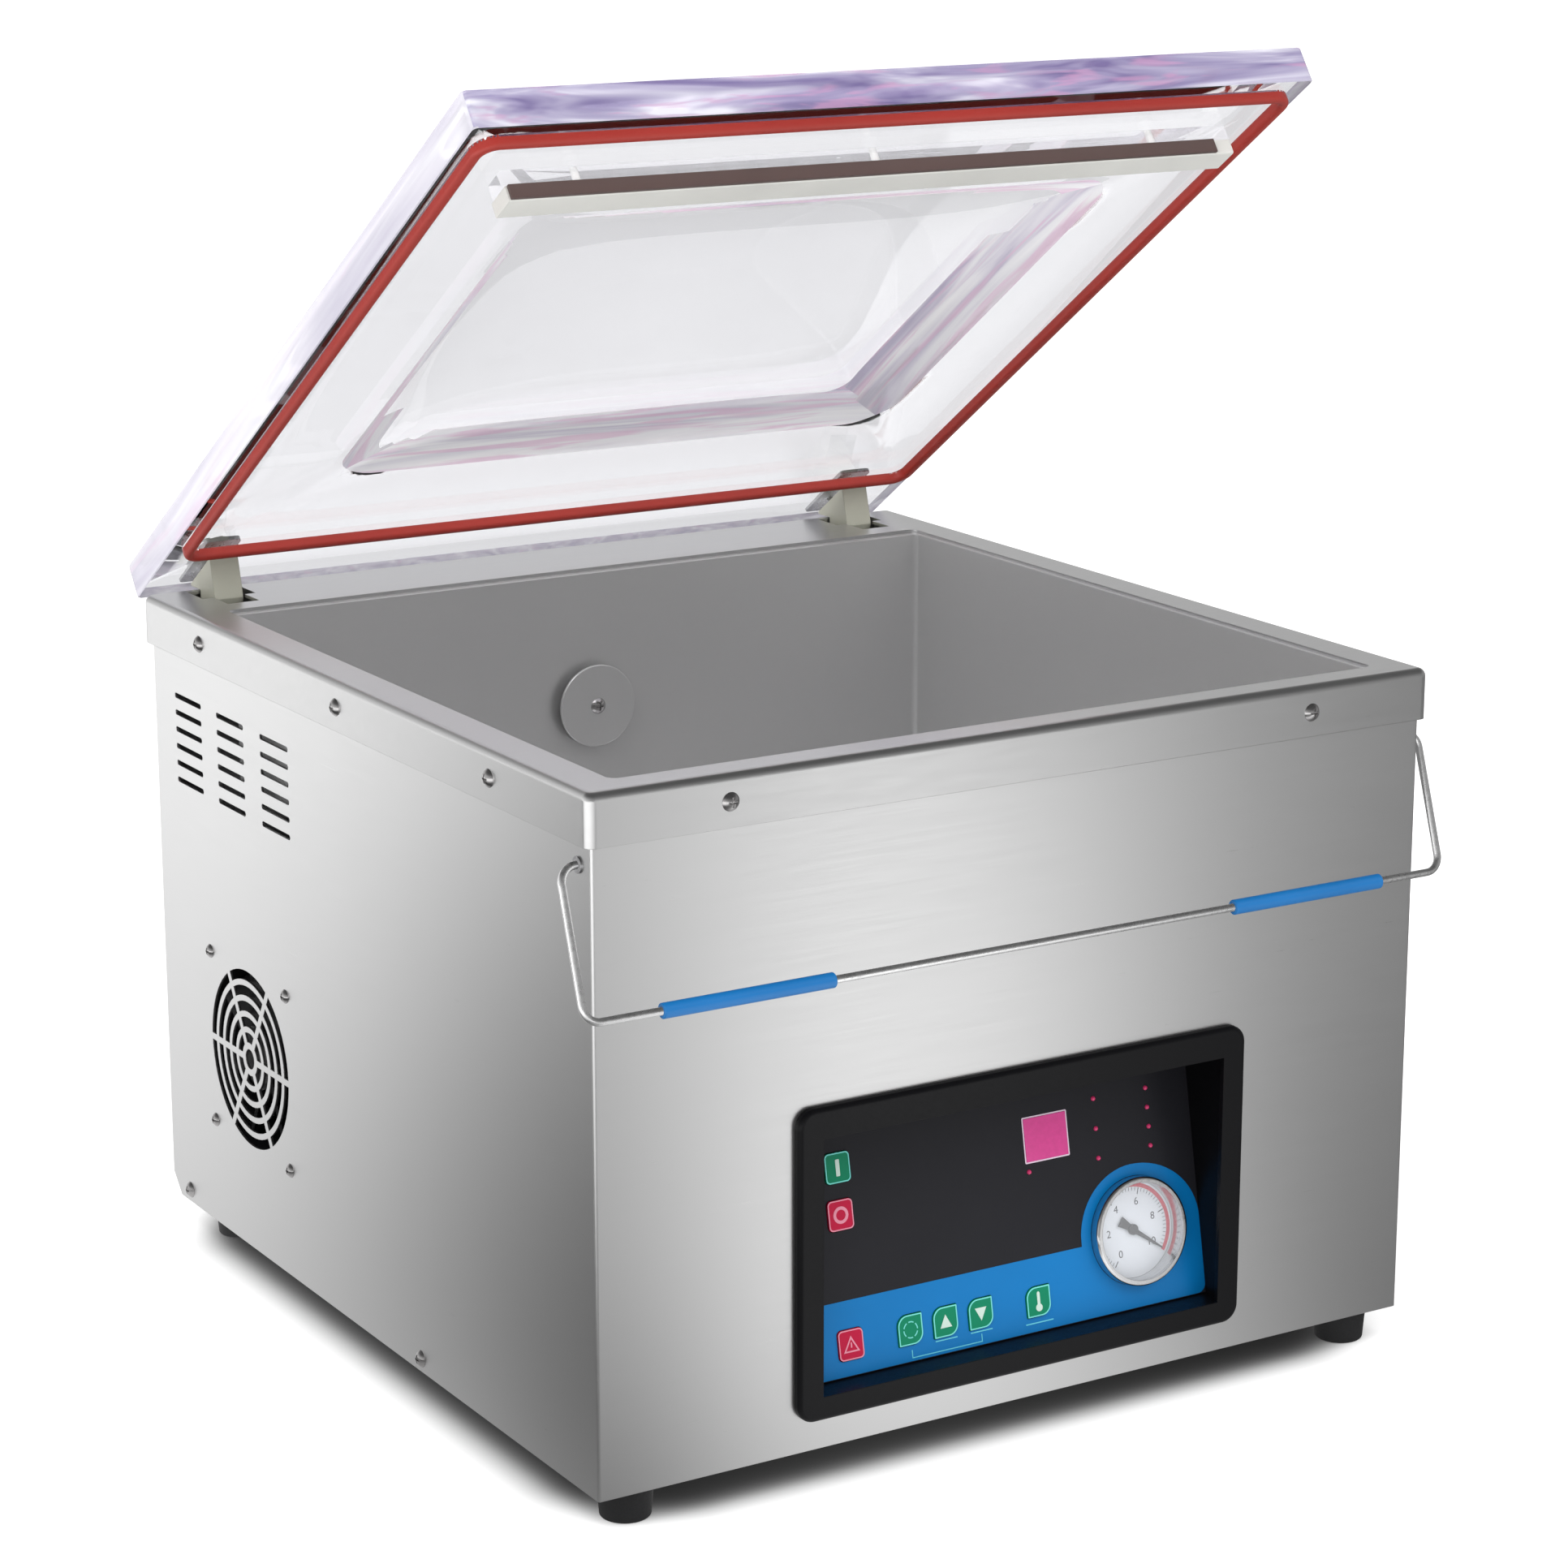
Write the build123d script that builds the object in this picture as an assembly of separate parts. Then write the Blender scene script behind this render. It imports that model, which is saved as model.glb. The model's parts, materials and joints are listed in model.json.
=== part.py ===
from build123d import *
import math
import os

# Table-top vacuum chamber sealer. Millimetres, +X right, +Y back, +Z up.
# Shapes are drawn in the housing's own frame: x = 0 and y = 0 in the middle of the housing, z = 0 at the
# underside of the base plate. save() moves each one to the frame of the whole object, whose origin lies on
# the floor, in the middle of the object's outline with the lid open.

# ---- driving dimensions -------------------------------------------------------------------------------
FOOT_H = 19.0            # rubber feet below the base plate
SHEET = 1.5              # stainless sheet
PANEL_X = 258.5          # outer faces of the side panels
PANEL_Y = 270.5          # outer faces of the front and rear panels
RIM_X = 262.2            # outer faces of the deck's rim
RIM_Y = 274.0
RIM_TOP = 372.5          # top of the deck
RIM_H = 28.4             # height of the down-turned rim
RIM_CORNER = 5.0
DECK_T = 2.0
REAR_SLOPE_Y = 12.5      # bevel along the bottom rear edge
REAR_SLOPE_Z = 14.0

TUB_X = 236.0            # inside of the vacuum chamber
TUB_FRONT = -252.0
TUB_REAR = 199.0
TUB_FLOOR = 210.0
TUB_CORNER = 3.0
LEDGE = 2.5              # tub edge that shows inside the deck's opening
REAR_LEDGE = 7.0

LID_OPEN = 35.0          # degrees, the rest pose
HINGE_Y = 262.0          # lid pivot
HINGE_Z = 343.0
SHAFT_R = 4.0
LID_X = 259.5
LID_REAR = 271.8         # closed lid
LID_LEN = 551.0
LID_BOTTOM = 378.4
LID_T = 21.3
LID_FRONT = LID_REAR - LID_LEN
ARM_X = 220.3            # middle of each hinge arm
ARM_W = 18.0

BAR_X = 226.0            # counter bar under the lid, half length
BAR_FRONT = -236.0
BAR_REAR = -216.0
BAR_BOTTOM = 360.9
HOLDER_BOTTOM = 369.4
SEAL_X = 215.0           # seal bar, half length
SEAL_Y = -226.0
SEAL_TOP = 352.0
SEAL_H = 22.0
LIFT_X = 150.0

BEZEL_X = 142.3          # control bezel
BEZEL_Z = (17.1, 188.8)
WINDOW_X = 127.6         # opening inside the bezel
WINDOW_Z = (30.5, 172.0)
RECESS_X = 131.0         # inside of the box behind the bezel
PLATE_DEPTH = (10.0, 37.0)   # how far the control plate lies behind the front panel, bottom and top
GAUGE = (88.3, 43.4)         # place on the control plate
GAUGE_R = 30.2

BAIL_Y = -256.8          # bail pivots
BAIL_Z = 332.5
BAIL_X = 269.0           # arms of the bail
WIRE_R = 2.1
BUSH_R = 3.2
CROSSBAR = (-281.5, 258.7)
SLEEVE_X = 176.0
SLEEVE_LEN = 100.0
SLEEVE_R = 4.1

FAN = (148.3, 117.8)     # y, z of the fan on the left side
FAN_PITCH = 52.5         # half of the fan's screw spacing
LOUVRE_Y = (220.8, 161.3, 100.9)
LOUVRE_Z = 317.9
LOUVRE_PITCH = 10.2
LOUVRE = (37.6, 3.1)

SCREW_HEAD_R = 5.0
SCREW_R = 2.0
FOOT_POINTS = [(-233, -252), (233, -252), (-233, 228), (233, 228)]
PORT = (-1.0, 289.0)     # x, z of the suction port in the tub's rear wall

OUTLINE_FRONT = CROSSBAR[0] - SLEEVE_R
OPEN = math.radians(LID_OPEN)


def opened(y, z):
    """A point of the closed lid, moved to where it lies with the lid open."""
    dy, dz = y - HINGE_Y, z - HINGE_Z
    return (HINGE_Y + dy * math.cos(OPEN) + dz * math.sin(OPEN),
            HINGE_Z - dy * math.sin(OPEN) + dz * math.cos(OPEN))


OUTLINE_REAR = opened(LID_REAR, LID_BOTTOM + LID_T)[0]
TO_FRAME = Pos(0, -(OUTLINE_FRONT + OUTLINE_REAR) / 2, FOOT_H)
LID_AXIS = Axis((0, HINGE_Y, HINGE_Z), (1, 0, 0))

os.makedirs("parts", exist_ok=True)


# ---- helpers ------------------------------------------------------------------------------------------
def save(node, shape):
    """Write one sub-part in the frame of the whole object."""
    placed = TO_FRAME * shape
    placed.label = node
    export_step(placed, f"parts/{node}.step")


def span(x0, x1, y0, y1, z0, z1):
    """A box between two corners."""
    return Pos((x0 + x1) / 2, (y0 + y1) / 2, (z0 + z1) / 2) * Box(x1 - x0, y1 - y0, z1 - z0)


def rod(radius, start, direction, length):
    """A cylinder from a start point along a direction."""
    return extrude(Plane(origin=start, z_dir=direction) * Circle(radius), length)


def side_profile(points, x0, x1):
    """A closed outline in y and z, given thickness along x."""
    face = make_face(Polyline([(x0, y, z) for y, z in points], close=True))
    return extrude(face, amount=x1 - x0, dir=(1, 0, 0))


def group(pieces):
    return Compound(children=list(pieces))


def both_sides(shape):
    return [shape, mirror(shape, about=Plane.YZ)]


def rounded_box(x0, x1, y0, y1, z0, z1, radius):
    """A box with rounded upright edges."""
    block = span(x0, x1, y0, y1, z0, z1)
    return fillet(block.edges().filter_by(Axis.Z), radius)


def open_lid(shape):
    """Turn a piece drawn on the closed lid to the open rest pose."""
    return shape.rotate(LID_AXIS, -LID_OPEN)


# ---- housing ------------------------------------------------------------------------------------------
FLANGE_SCREWS_FRONT = [-181.5, 181.5]
FLANGE_SCREWS_SIDE = [193.0, 10.0, -170.0]
BASE_SCREWS_SIDE = [243.8, -69.4]
FLANGE_SCREW_Z = 357.6
BASE_SCREW_Z = 7.5
SHANK = 9.0


def screw_hole(point, direction, radius=2.15):
    start = Vector(*point) - Vector(*direction) * 15
    return rod(radius, start, direction, 30)


def flange_screw_places():
    """Points on the outside of the rim, with the direction in which each screw goes."""
    places = []
    for x in FLANGE_SCREWS_FRONT:
        places.append(((x, -RIM_Y, FLANGE_SCREW_Z), (0, 1, 0)))
        places.append(((x, RIM_Y, FLANGE_SCREW_Z), (0, -1, 0)))
    for y in FLANGE_SCREWS_SIDE:
        places.append(((-RIM_X, y, FLANGE_SCREW_Z), (1, 0, 0)))
        places.append(((RIM_X, y, FLANGE_SCREW_Z), (-1, 0, 0)))
    return places


def base_screw_places():
    places = []
    for y in BASE_SCREWS_SIDE:
        places.append(((-PANEL_X, y, BASE_SCREW_Z), (1, 0, 0)))
        places.append(((PANEL_X, y, BASE_SCREW_Z), (-1, 0, 0)))
    return places


def cut_screw_holes(shape, places):
    for point, direction in places:
        shape -= screw_hole(point, direction)
    return shape


def round_head_screw(head_r=SCREW_HEAD_R, head_h=3.0, shank_r=SCREW_R, shank=SHANK):
    """A screw with a cross recess; its head rests on z = 0 and its shank points down."""
    ball_r = (head_r ** 2 + head_h ** 2) / (2 * head_h)
    head = Pos(0, 0, head_h - ball_r) * Sphere(ball_r)
    head &= Pos(0, 0, head_h / 2) * Box(4 * head_r, 4 * head_r, head_h)
    recess = Box(head_r, 0.9, 2.6) + Box(0.9, head_r, 2.6)
    head -= Pos(0, 0, head_h) * recess
    return head + rod(shank_r, (0, 0, 0.01), (0, 0, -1), shank)


def screw_at(point, direction, screw):
    """Stand a screw on a surface so that its shank goes in along the direction."""
    outward = Vector(*direction) * -1
    return Plane(origin=point, z_dir=outward).location * screw


def make_base_plate():
    slope = math.atan2(REAR_SLOPE_Z, REAR_SLOPE_Y)
    bend_y = PANEL_Y - REAR_SLOPE_Y
    end_y = PANEL_Y - SHEET
    inner_y = bend_y - SHEET * math.tan(slope / 2)

    def lip(y, start):
        return (y - start) * math.tan(slope)

    outline = [(-end_y, 0), (bend_y, 0), (end_y, lip(end_y, bend_y)),
               (end_y, SHEET + lip(end_y, inner_y)), (inner_y, SHEET), (-end_y, SHEET)]
    plate = side_profile(outline, -PANEL_X + SHEET, PANEL_X - SHEET)
    wall = PANEL_X - SHEET
    flange = span(wall - SHEET, wall, -255, inner_y - 2, SHEET - 0.5, 14)
    for piece in both_sides(flange):
        plate += piece
    for x, y in FOOT_POINTS:
        plate -= rod(3.1, (x, y, -5), (0, 0, 1), 15)
    return cut_screw_holes(plate, base_screw_places())


def make_front_panel():
    panel = span(-PANEL_X, PANEL_X, -PANEL_Y, -PANEL_Y + SHEET, 0, RIM_TOP - DECK_T)
    outer = panel.edges().filter_by(Axis.Z).group_by(Axis.Y)[0]
    panel = fillet(outer, SHEET - 0.1)
    gap = 0.2
    panel -= span(-RECESS_X - 2 - gap, RECESS_X + 2 + gap, -PANEL_Y - 5, -PANEL_Y + 5,
                  WINDOW_Z[0] - 2 - gap, WINDOW_Z[1] + 2 + gap)
    return cut_screw_holes(panel, flange_screw_places())


def louvre(y, z, x):
    """A horizontal slot with round ends, cut through a side panel."""
    slot = Plane(origin=(x - 5, y, z), x_dir=(0, 1, 0), z_dir=(1, 0, 0)) * SlotOverall(*LOUVRE)
    return extrude(slot, 10)


def fan_grille():
    """Five rings of slots and a middle hole, divided by six spokes."""
    rings = Circle(6)
    for ring in range(5):
        inner = 10.0 + 9.4 * ring
        rings += Circle(inner + 5.9) - Circle(inner)
    for spoke in range(3):
        rings -= Rot(0, 0, 60 * spoke) * (Rectangle(120, 4.0) - Circle(8))
    return rings


def make_side_panel(sign):
    half_y = PANEL_Y - SHEET
    slope = REAR_SLOPE_Z / REAR_SLOPE_Y
    rise = (half_y - (PANEL_Y - REAR_SLOPE_Y)) * slope
    outline = [(-half_y, 0), (PANEL_Y - REAR_SLOPE_Y, 0), (half_y, rise),
               (half_y, RIM_TOP - DECK_T), (-half_y, RIM_TOP - DECK_T)]
    x0, x1 = sorted((sign * (PANEL_X - SHEET), sign * PANEL_X))
    panel = side_profile(outline, x0, x1)
    for y in LOUVRE_Y:
        for row in range(6):
            panel -= louvre(y, LOUVRE_Z - row * LOUVRE_PITCH, sign * PANEL_X)
    if sign < 0:
        grille_plane = Plane(origin=(-PANEL_X - 5, FAN[0], FAN[1]), x_dir=(0, 1, 0), z_dir=(1, 0, 0))
        panel -= extrude(grille_plane * fan_grille(), 10)
        for point, direction in fan_screw_places():
            panel -= screw_hole(point, direction)
    panel -= rod(BUSH_R + 0.05, (sign * 240, BAIL_Y, BAIL_Z), (sign, 0, 0), 40)
    return cut_screw_holes(panel, flange_screw_places() + base_screw_places())


INLET = (170.0, 60.0)
INLET_BODY = (56.0, 30.0)


def make_rear_panel():
    bottom = REAR_SLOPE_Z - SHEET * REAR_SLOPE_Z / REAR_SLOPE_Y + 3.0
    wall = PANEL_X - SHEET
    panel = span(-wall, wall, PANEL_Y - SHEET, PANEL_Y, bottom, RIM_TOP - DECK_T)
    for x in (-130, -60, 60, 130):
        for row in range(6):
            slot = Pos(x, PANEL_Y - 5, 240 - row * LOUVRE_PITCH) * Rot(-90, 0, 0) * SlotOverall(*LOUVRE)
            panel -= extrude(slot, 12)
    cut_x, cut_z = INLET_BODY[0] / 2 + 0.2, INLET_BODY[1] / 2 + 0.2
    panel -= span(INLET[0] - cut_x, INLET[0] + cut_x, PANEL_Y - 5, PANEL_Y + 5,
                  INLET[1] - cut_z, INLET[1] + cut_z)
    return cut_screw_holes(panel, flange_screw_places())


SLOT_NARROW = ARM_W / 2 + 1.0
SLOT_WIDE = 17.0


def make_top_deck():
    bottom = RIM_TOP - RIM_H
    deck = rounded_box(-RIM_X, RIM_X, -RIM_Y, RIM_Y, bottom, RIM_TOP, RIM_CORNER)
    deck = fillet(deck.faces().sort_by(Axis.Z)[-1].edges(), RIM_CORNER - 0.5)
    inner_x, inner_y = RIM_X - SHEET, RIM_Y - SHEET
    inside = rounded_box(-inner_x, inner_x, -inner_y, inner_y, bottom - 1, RIM_TOP - DECK_T,
                         RIM_CORNER - SHEET)
    deck -= fillet(inside.faces().sort_by(Axis.Z)[-1].edges(), 2.0)
    edge_x = TUB_X + LEDGE
    deck -= rounded_box(-edge_x, edge_x, TUB_FRONT - LEDGE, TUB_REAR + REAR_LEDGE, RIM_TOP - 5, RIM_TOP + 5,
                        TUB_CORNER + LEDGE)
    for sign in (-1, 1):
        middle = sign * ARM_X
        deck -= span(middle - SLOT_NARROW, middle + SLOT_NARROW, 222.5, 250, RIM_TOP - 5, RIM_TOP + 5)
        deck -= span(middle - SLOT_WIDE, middle + SLOT_WIDE, 243, 266, RIM_TOP - 5, RIM_TOP + 5)
    return cut_screw_holes(deck, flange_screw_places())


def make_vacuum_chamber():
    """Pressed tub with a flange under the deck and a hose stub for the suction port."""
    top = RIM_TOP - DECK_T
    tub = rounded_box(-TUB_X - SHEET, TUB_X + SHEET, TUB_FRONT - SHEET, TUB_REAR + SHEET,
                      TUB_FLOOR - SHEET, top, TUB_CORNER + SHEET)
    tub = fillet(tub.faces().sort_by(Axis.Z)[0].edges(), TUB_CORNER + SHEET - 0.1)
    tub += rounded_box(-250, 250, -266, 219, top - SHEET, top, 14)
    cavity = rounded_box(-TUB_X, TUB_X, TUB_FRONT, TUB_REAR, TUB_FLOOR, top + 20, TUB_CORNER)
    cavity = fillet(cavity.faces().sort_by(Axis.Z)[0].edges(), TUB_CORNER - 0.1)
    tub -= cavity
    tub += rod(8.0, (PORT[0], TUB_REAR + 1, PORT[1]), (0, 1, 0), 13)
    tub -= rod(6.0, (PORT[0], TUB_REAR - 5, PORT[1]), (0, 1, 0), 40)
    tub -= rod(1.6, (PORT[0] + 12, TUB_REAR - 5, PORT[1]), (0, 1, 0), 10)
    for sign in (-1, 1):
        tub -= rod(4.2, (sign * LIFT_X, SEAL_Y, TUB_FLOOR - 5), (0, 0, 1), 10)
    return tub


def make_rubber_foot(x, y):
    foot = Pos(x, y, -FOOT_H / 2) * Rot(180, 0, 0) * Cone(15.0, 13.5, FOOT_H)
    foot = fillet(foot.edges().group_by(Axis.Z)[0], 1.5)
    foot -= rod(3.1, (x, y, -FOOT_H - 1), (0, 0, 1), FOOT_H + 2)
    return foot - rod(7.0, (x, y, -FOOT_H - 1), (0, 0, 1), 8)


def make_foot_screw(x, y):
    """Hexagon bolt from below with its nut on the base plate."""
    head = Pos(x, y, -FOOT_H + 3) * extrude(RegularPolygon(5.7, 6), 4)
    shank = rod(3.0, (x, y, -FOOT_H + 6.9), (0, 0, 1), FOOT_H + 1.0)
    nut = Pos(x, y, SHEET) * extrude(RegularPolygon(5.7, 6), 5)
    return head + shank + nut


def make_housing_screws():
    screw = round_head_screw()
    places = flange_screw_places() + base_screw_places()
    return group([screw_at(point, direction, screw) for point, direction in places])


# ---- fan ----------------------------------------------------------------------------------------------
def fan_screw_places():
    places = []
    for dy in (-FAN_PITCH, FAN_PITCH):
        for dz in (-FAN_PITCH, FAN_PITCH):
            places.append(((-PANEL_X, FAN[0] + dy, FAN[1] + dz), (1, 0, 0)))
    return places


FAN_FRONT = -PANEL_X + SHEET
FAN_DEPTH = 25.0


def make_fan_frame():
    """Square frame with a round duct, a motor seat at the back and four struts."""
    x0, x1 = FAN_FRONT, FAN_FRONT + FAN_DEPTH
    frame = span(x0, x1, FAN[0] - 60, FAN[0] + 60, FAN[1] - 60, FAN[1] + 60)
    frame = fillet(frame.edges().filter_by(Axis.X), 5)
    frame -= rod(57.5, (x0 - 1, FAN[0], FAN[1]), (1, 0, 0), FAN_DEPTH + 2)
    struts = Rectangle(8, 118) + Rectangle(118, 8)
    seat = Plane(origin=(x1 - 4, FAN[0], FAN[1]), x_dir=(0, 1, 0), z_dir=(1, 0, 0)) * (struts + Circle(20))
    frame += extrude(seat, 4)
    frame += rod(3.0, (x1 - 4, FAN[0], FAN[1]), (-1, 0, 0), 12)
    for point, direction in fan_screw_places():
        frame -= screw_hole(point, direction)
    return frame


def make_fan_rotor():
    """Hub cup with seven pitched blades on the frame's pin."""
    hub_x = FAN_FRONT + 3.5
    hub_len = 16.0
    rotor = rod(19.0, (hub_x, FAN[0], FAN[1]), (1, 0, 0), hub_len)
    blade = Pos(hub_x + hub_len / 2, FAN[0], FAN[1] + 36) * Rot(0, 0, 38) * Box(1.8, 22, 37)
    for step in range(7):
        rotor += blade.rotate(Axis((0, FAN[0], FAN[1]), (1, 0, 0)), step * 360 / 7)
    return rotor - rod(3.05, (hub_x + 4, FAN[0], FAN[1]), (1, 0, 0), hub_len)


def make_fan_screws():
    screw = round_head_screw(head_r=4.2, head_h=2.6, shank=12)
    return group([screw_at(point, direction, screw) for point, direction in fan_screw_places()])


# ---- controls -----------------------------------------------------------------------------------------
PLATE_RUN = PLATE_DEPTH[1] - PLATE_DEPTH[0]
PLATE_RISE = WINDOW_Z[1] - WINDOW_Z[0]
PLATE_LEAN = math.atan2(PLATE_RUN, PLATE_RISE)
PLATE_LEN = math.hypot(PLATE_RUN, PLATE_RISE)
# The control plate's own frame: x along it, y up its slope, z out of its face.
PLATE = Plane(origin=(0, -PANEL_Y + PLATE_DEPTH[0], WINDOW_Z[0]), x_dir=(1, 0, 0),
              z_dir=(0, -math.cos(PLATE_LEAN), math.sin(PLATE_LEAN)))
PLATE_T = 2.0
KEY_H = 16.4
KEY_W = 15.5
KEY_GAP = 0.3
KEYS = {
    "start_key": (-97.7, 111.7, "round"), "stop_key": (-98.5, 86.6, "round"),
    "halt_key": (-99.8, 17.5, "round"), "cycle_key": (-62.6, 18.0, "leaf"),
    "up_key": (-40.3, 18.0, "leaf"), "down_key": (-17.7, 18.0, "leaf"), "heat_key": (19.8, 17.2, "leaf"),
}
DISPLAY = (34.6, 104.9)
DISPLAY_SIZE = (27.4, 23.5)
LAMP_R = 1.3
LAMPS = [(67.7, 120.2), (67.7, 103.6), (67.7, 87.2), (102.7, 120.2), (102.7, 109.5), (102.7, 98.8),
         (102.7, 88.1), (22.0, 87.7)]


def on_plate(shape):
    return PLATE.location * shape


def make_control_bezel():
    """Rounded frame on the front panel, with a box behind it that holds the sloping plate."""
    front = -PANEL_Y - 5.0
    frame = Pos(0, 0, sum(BEZEL_Z) / 2) * Box(2 * BEZEL_X, 5.0, BEZEL_Z[1] - BEZEL_Z[0])
    frame = fillet(frame.edges().filter_by(Axis.Y), 10)
    frame = fillet(frame.faces().sort_by(Axis.Y)[0].edges(), 2.5)
    frame = Pos(0, front + 2.5, 0) * frame
    back = -PANEL_Y + PLATE_DEPTH[1] + 5
    frame += span(-RECESS_X - 2, RECESS_X + 2, front + 4, back, WINDOW_Z[0] - 2, WINDOW_Z[1] + 2)
    frame -= span(-RECESS_X, RECESS_X, front + 3, back + 1, WINDOW_Z[0], WINDOW_Z[1])
    return frame - span(-WINDOW_X, WINDOW_X, front - 1, back, WINDOW_Z[0], WINDOW_Z[1])


def key_outline(kind, grow=0.0):
    """Square keys have four round corners; leaf keys have two, at opposite corners."""
    face = Rectangle(KEY_W + 2 * grow, KEY_H + 2 * grow)
    corners = face.vertices().sort_by(Axis.X)
    left = corners[:2].sort_by(Axis.Y)
    right = corners[2:].sort_by(Axis.Y)
    if kind == "round":
        return fillet(face.vertices(), 2.6 + grow)
    return fillet([left[1], right[0]], 6.0 + grow)


def make_control_plate():
    edge = 0.05
    plate = Pos(0, PLATE_LEN / 2, -PLATE_T / 2) * Box(2 * (RECESS_X - edge), PLATE_LEN - 1.0, PLATE_T)
    for x, y, kind in KEYS.values():
        plate -= Pos(x, y, -PLATE_T - 1) * extrude(key_outline(kind, KEY_GAP), PLATE_T + 2)
    plate -= Pos(*DISPLAY, 0) * Box(DISPLAY_SIZE[0] + 0.2, DISPLAY_SIZE[1] + 0.2, 10)
    plate -= Pos(*GAUGE, 0) * Cylinder(28.2, 10)
    for x, y in LAMPS:
        plate -= Pos(x, y, 0) * Cylinder(LAMP_R + 0.1, 10)
    return on_plate(plate)


def make_key(x, y, kind):
    """A cap that stands a little proud and a flange that holds it behind the plate."""
    cap = extrude(key_outline(kind), PLATE_T + 1.1)
    cap = Pos(0, 0, -PLATE_T - 0.1) * cap
    cap = fillet(cap.faces().sort_by(Axis.Z)[-1].edges(), 0.4)
    flange = Pos(0, 0, -PLATE_T - 1.1) * extrude(Rectangle(KEY_W + 3.0, KEY_H + 3.0), 1.0)
    stem = Pos(0, 0, -PLATE_T - 4.0) * Cylinder(2.5, 6.0)
    return on_plate(Pos(x, y, 0) * (cap + flange + stem))


def make_display_window():
    window = Pos(0, 0, -0.8) * Box(*DISPLAY_SIZE, 2.6)
    flange = Pos(0, 0, -PLATE_T - 0.6) * Box(DISPLAY_SIZE[0] + 4, DISPLAY_SIZE[1] + 4, 1.1)
    return on_plate(Pos(*DISPLAY, 0) * (window + flange))


def make_indicator_lamps():
    body = Pos(0, 0, -4.0) * Cylinder(LAMP_R, 8.0) + Sphere(LAMP_R)
    return group([on_plate(Pos(x, y, 0) * body) for x, y in LAMPS])


GAUGE_FRONT = 6.5        # front edge of the gauge's ring, above the plate
DIAL_BACK = -5.5


def make_gauge_case():
    """Cup with a polished ring that rests on the plate; the dial lies deep inside."""
    body = Pos(0, 0, -6.2) * Cylinder(28.0, 12.6)
    ring = Pos(0, 0, GAUGE_FRONT / 2 + 0.05) * Cylinder(GAUGE_R, GAUGE_FRONT - 0.1)
    ring = fillet(ring.edges().group_by(Axis.Z)[-1], 1.6)
    bore_len = GAUGE_FRONT - DIAL_BACK
    bore = Pos(0, 0, DIAL_BACK + bore_len / 2 + 0.5) * Cylinder(27.0, bore_len + 1.0)
    case = body + ring - bore
    case -= Pos(0, 0, DIAL_BACK - 2) * Cylinder(1.05, 4.1)
    return on_plate(Pos(*GAUGE, 0) * case)


def make_gauge_dial():
    dial = Cylinder(26.9, 1.0) - Cylinder(1.05, 4)
    return on_plate(Pos(*GAUGE, DIAL_BACK + 0.55) * dial)


NEEDLE_ANGLE = -36.0     # degrees from the plate's x axis, at atmospheric pressure


def make_gauge_needle():
    """Pointer, counterweight and the spindle that carries them."""
    pointer = make_face(Polyline([(0, 1.5), (23.0, 0.35), (23.0, -0.35), (0, -1.5)], close=True))
    tail = make_face(Polyline([(0, 1.4), (-9.5, 3.0), (-9.5, -3.0), (0, -1.4)], close=True))
    blade = extrude(pointer + tail, 0.6)
    hub = Pos(0, 0, 0.7) * Cylinder(3.0, 1.6)
    spindle = Pos(0, 0, -2.0) * Cylinder(1.0, 5.0)
    needle = Pos(0, 0, DIAL_BACK + 1.8) * Rot(0, 0, NEEDLE_ANGLE) * (blade + hub + spindle)
    return on_plate(Pos(*GAUGE, 0) * needle)


def make_gauge_lens():
    lens = Pos(0, 0, GAUGE_FRONT - 2.2) * Cylinder(26.9, 1.6)
    return on_plate(Pos(*GAUGE, 0) * lens)


def make_circuit_board():
    """Board behind the plate with relays, a heat sink and a terminal strip on its back."""
    board = Pos(-35, 72, -14.8) * Box(176, 118, 1.6)
    for x, y, size in ((-90, 100, (22, 16, 14)), (-60, 100, (22, 16, 14)), (-30, 100, (22, 16, 14)),
                       (-85, 45, (46, 24, 16)), (10, 60, (30, 36, 12)), (-40, 22, (90, 9, 11))):
        board += Pos(x, y, -15.5 - size[2] / 2) * Box(*size)
    return on_plate(board)


# ---- chamber fittings ---------------------------------------------------------------------------------
def make_port_cover():
    """Round baffle on a short post in front of the suction port."""
    cover = rod(25.5, (PORT[0], TUB_REAR - 6.0, PORT[1]), (0, -1, 0), 1.8)
    cover = fillet(cover.edges().group_by(Axis.Y)[0], 0.6)
    post = rod(4.0, (PORT[0] + 12, TUB_REAR, PORT[1]), (0, -1, 0), 6.1)
    cover += post
    cover -= rod(1.6, (PORT[0] + 12, TUB_REAR + 1, PORT[1]), (0, -1, 0), 5)
    return cover - rod(2.1, (PORT[0], TUB_REAR, PORT[1]), (0, -1, 0), 20)


def make_port_screw():
    screw = round_head_screw(head_r=5.0, head_h=2.8, shank=4.5)
    return screw_at((PORT[0], TUB_REAR - 7.8, PORT[1]), (0, 1, 0), screw)


def make_seal_bar():
    """Aluminium bar with side grooves; the heating strip and its tape lie along its top."""
    half = 8.0
    bar = span(-SEAL_X, SEAL_X, SEAL_Y - half, SEAL_Y + half, SEAL_TOP - SEAL_H, SEAL_TOP)
    for side in (-1, 1):
        groove = span(-SEAL_X - 1, SEAL_X + 1, -1.5, 1.5, SEAL_TOP - 14, SEAL_TOP - 9)
        bar -= Pos(0, SEAL_Y + side * half, 0) * groove
    return bar


def make_heating_strip():
    return span(-SEAL_X + 3, SEAL_X - 3, SEAL_Y - 3, SEAL_Y + 3, SEAL_TOP, SEAL_TOP + 0.3)


def make_sealing_tape():
    return span(-SEAL_X + 1, SEAL_X - 1, SEAL_Y - 7.5, SEAL_Y + 7.5, SEAL_TOP + 0.3, SEAL_TOP + 0.55)


LIFT_TOP = 300.0


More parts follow.
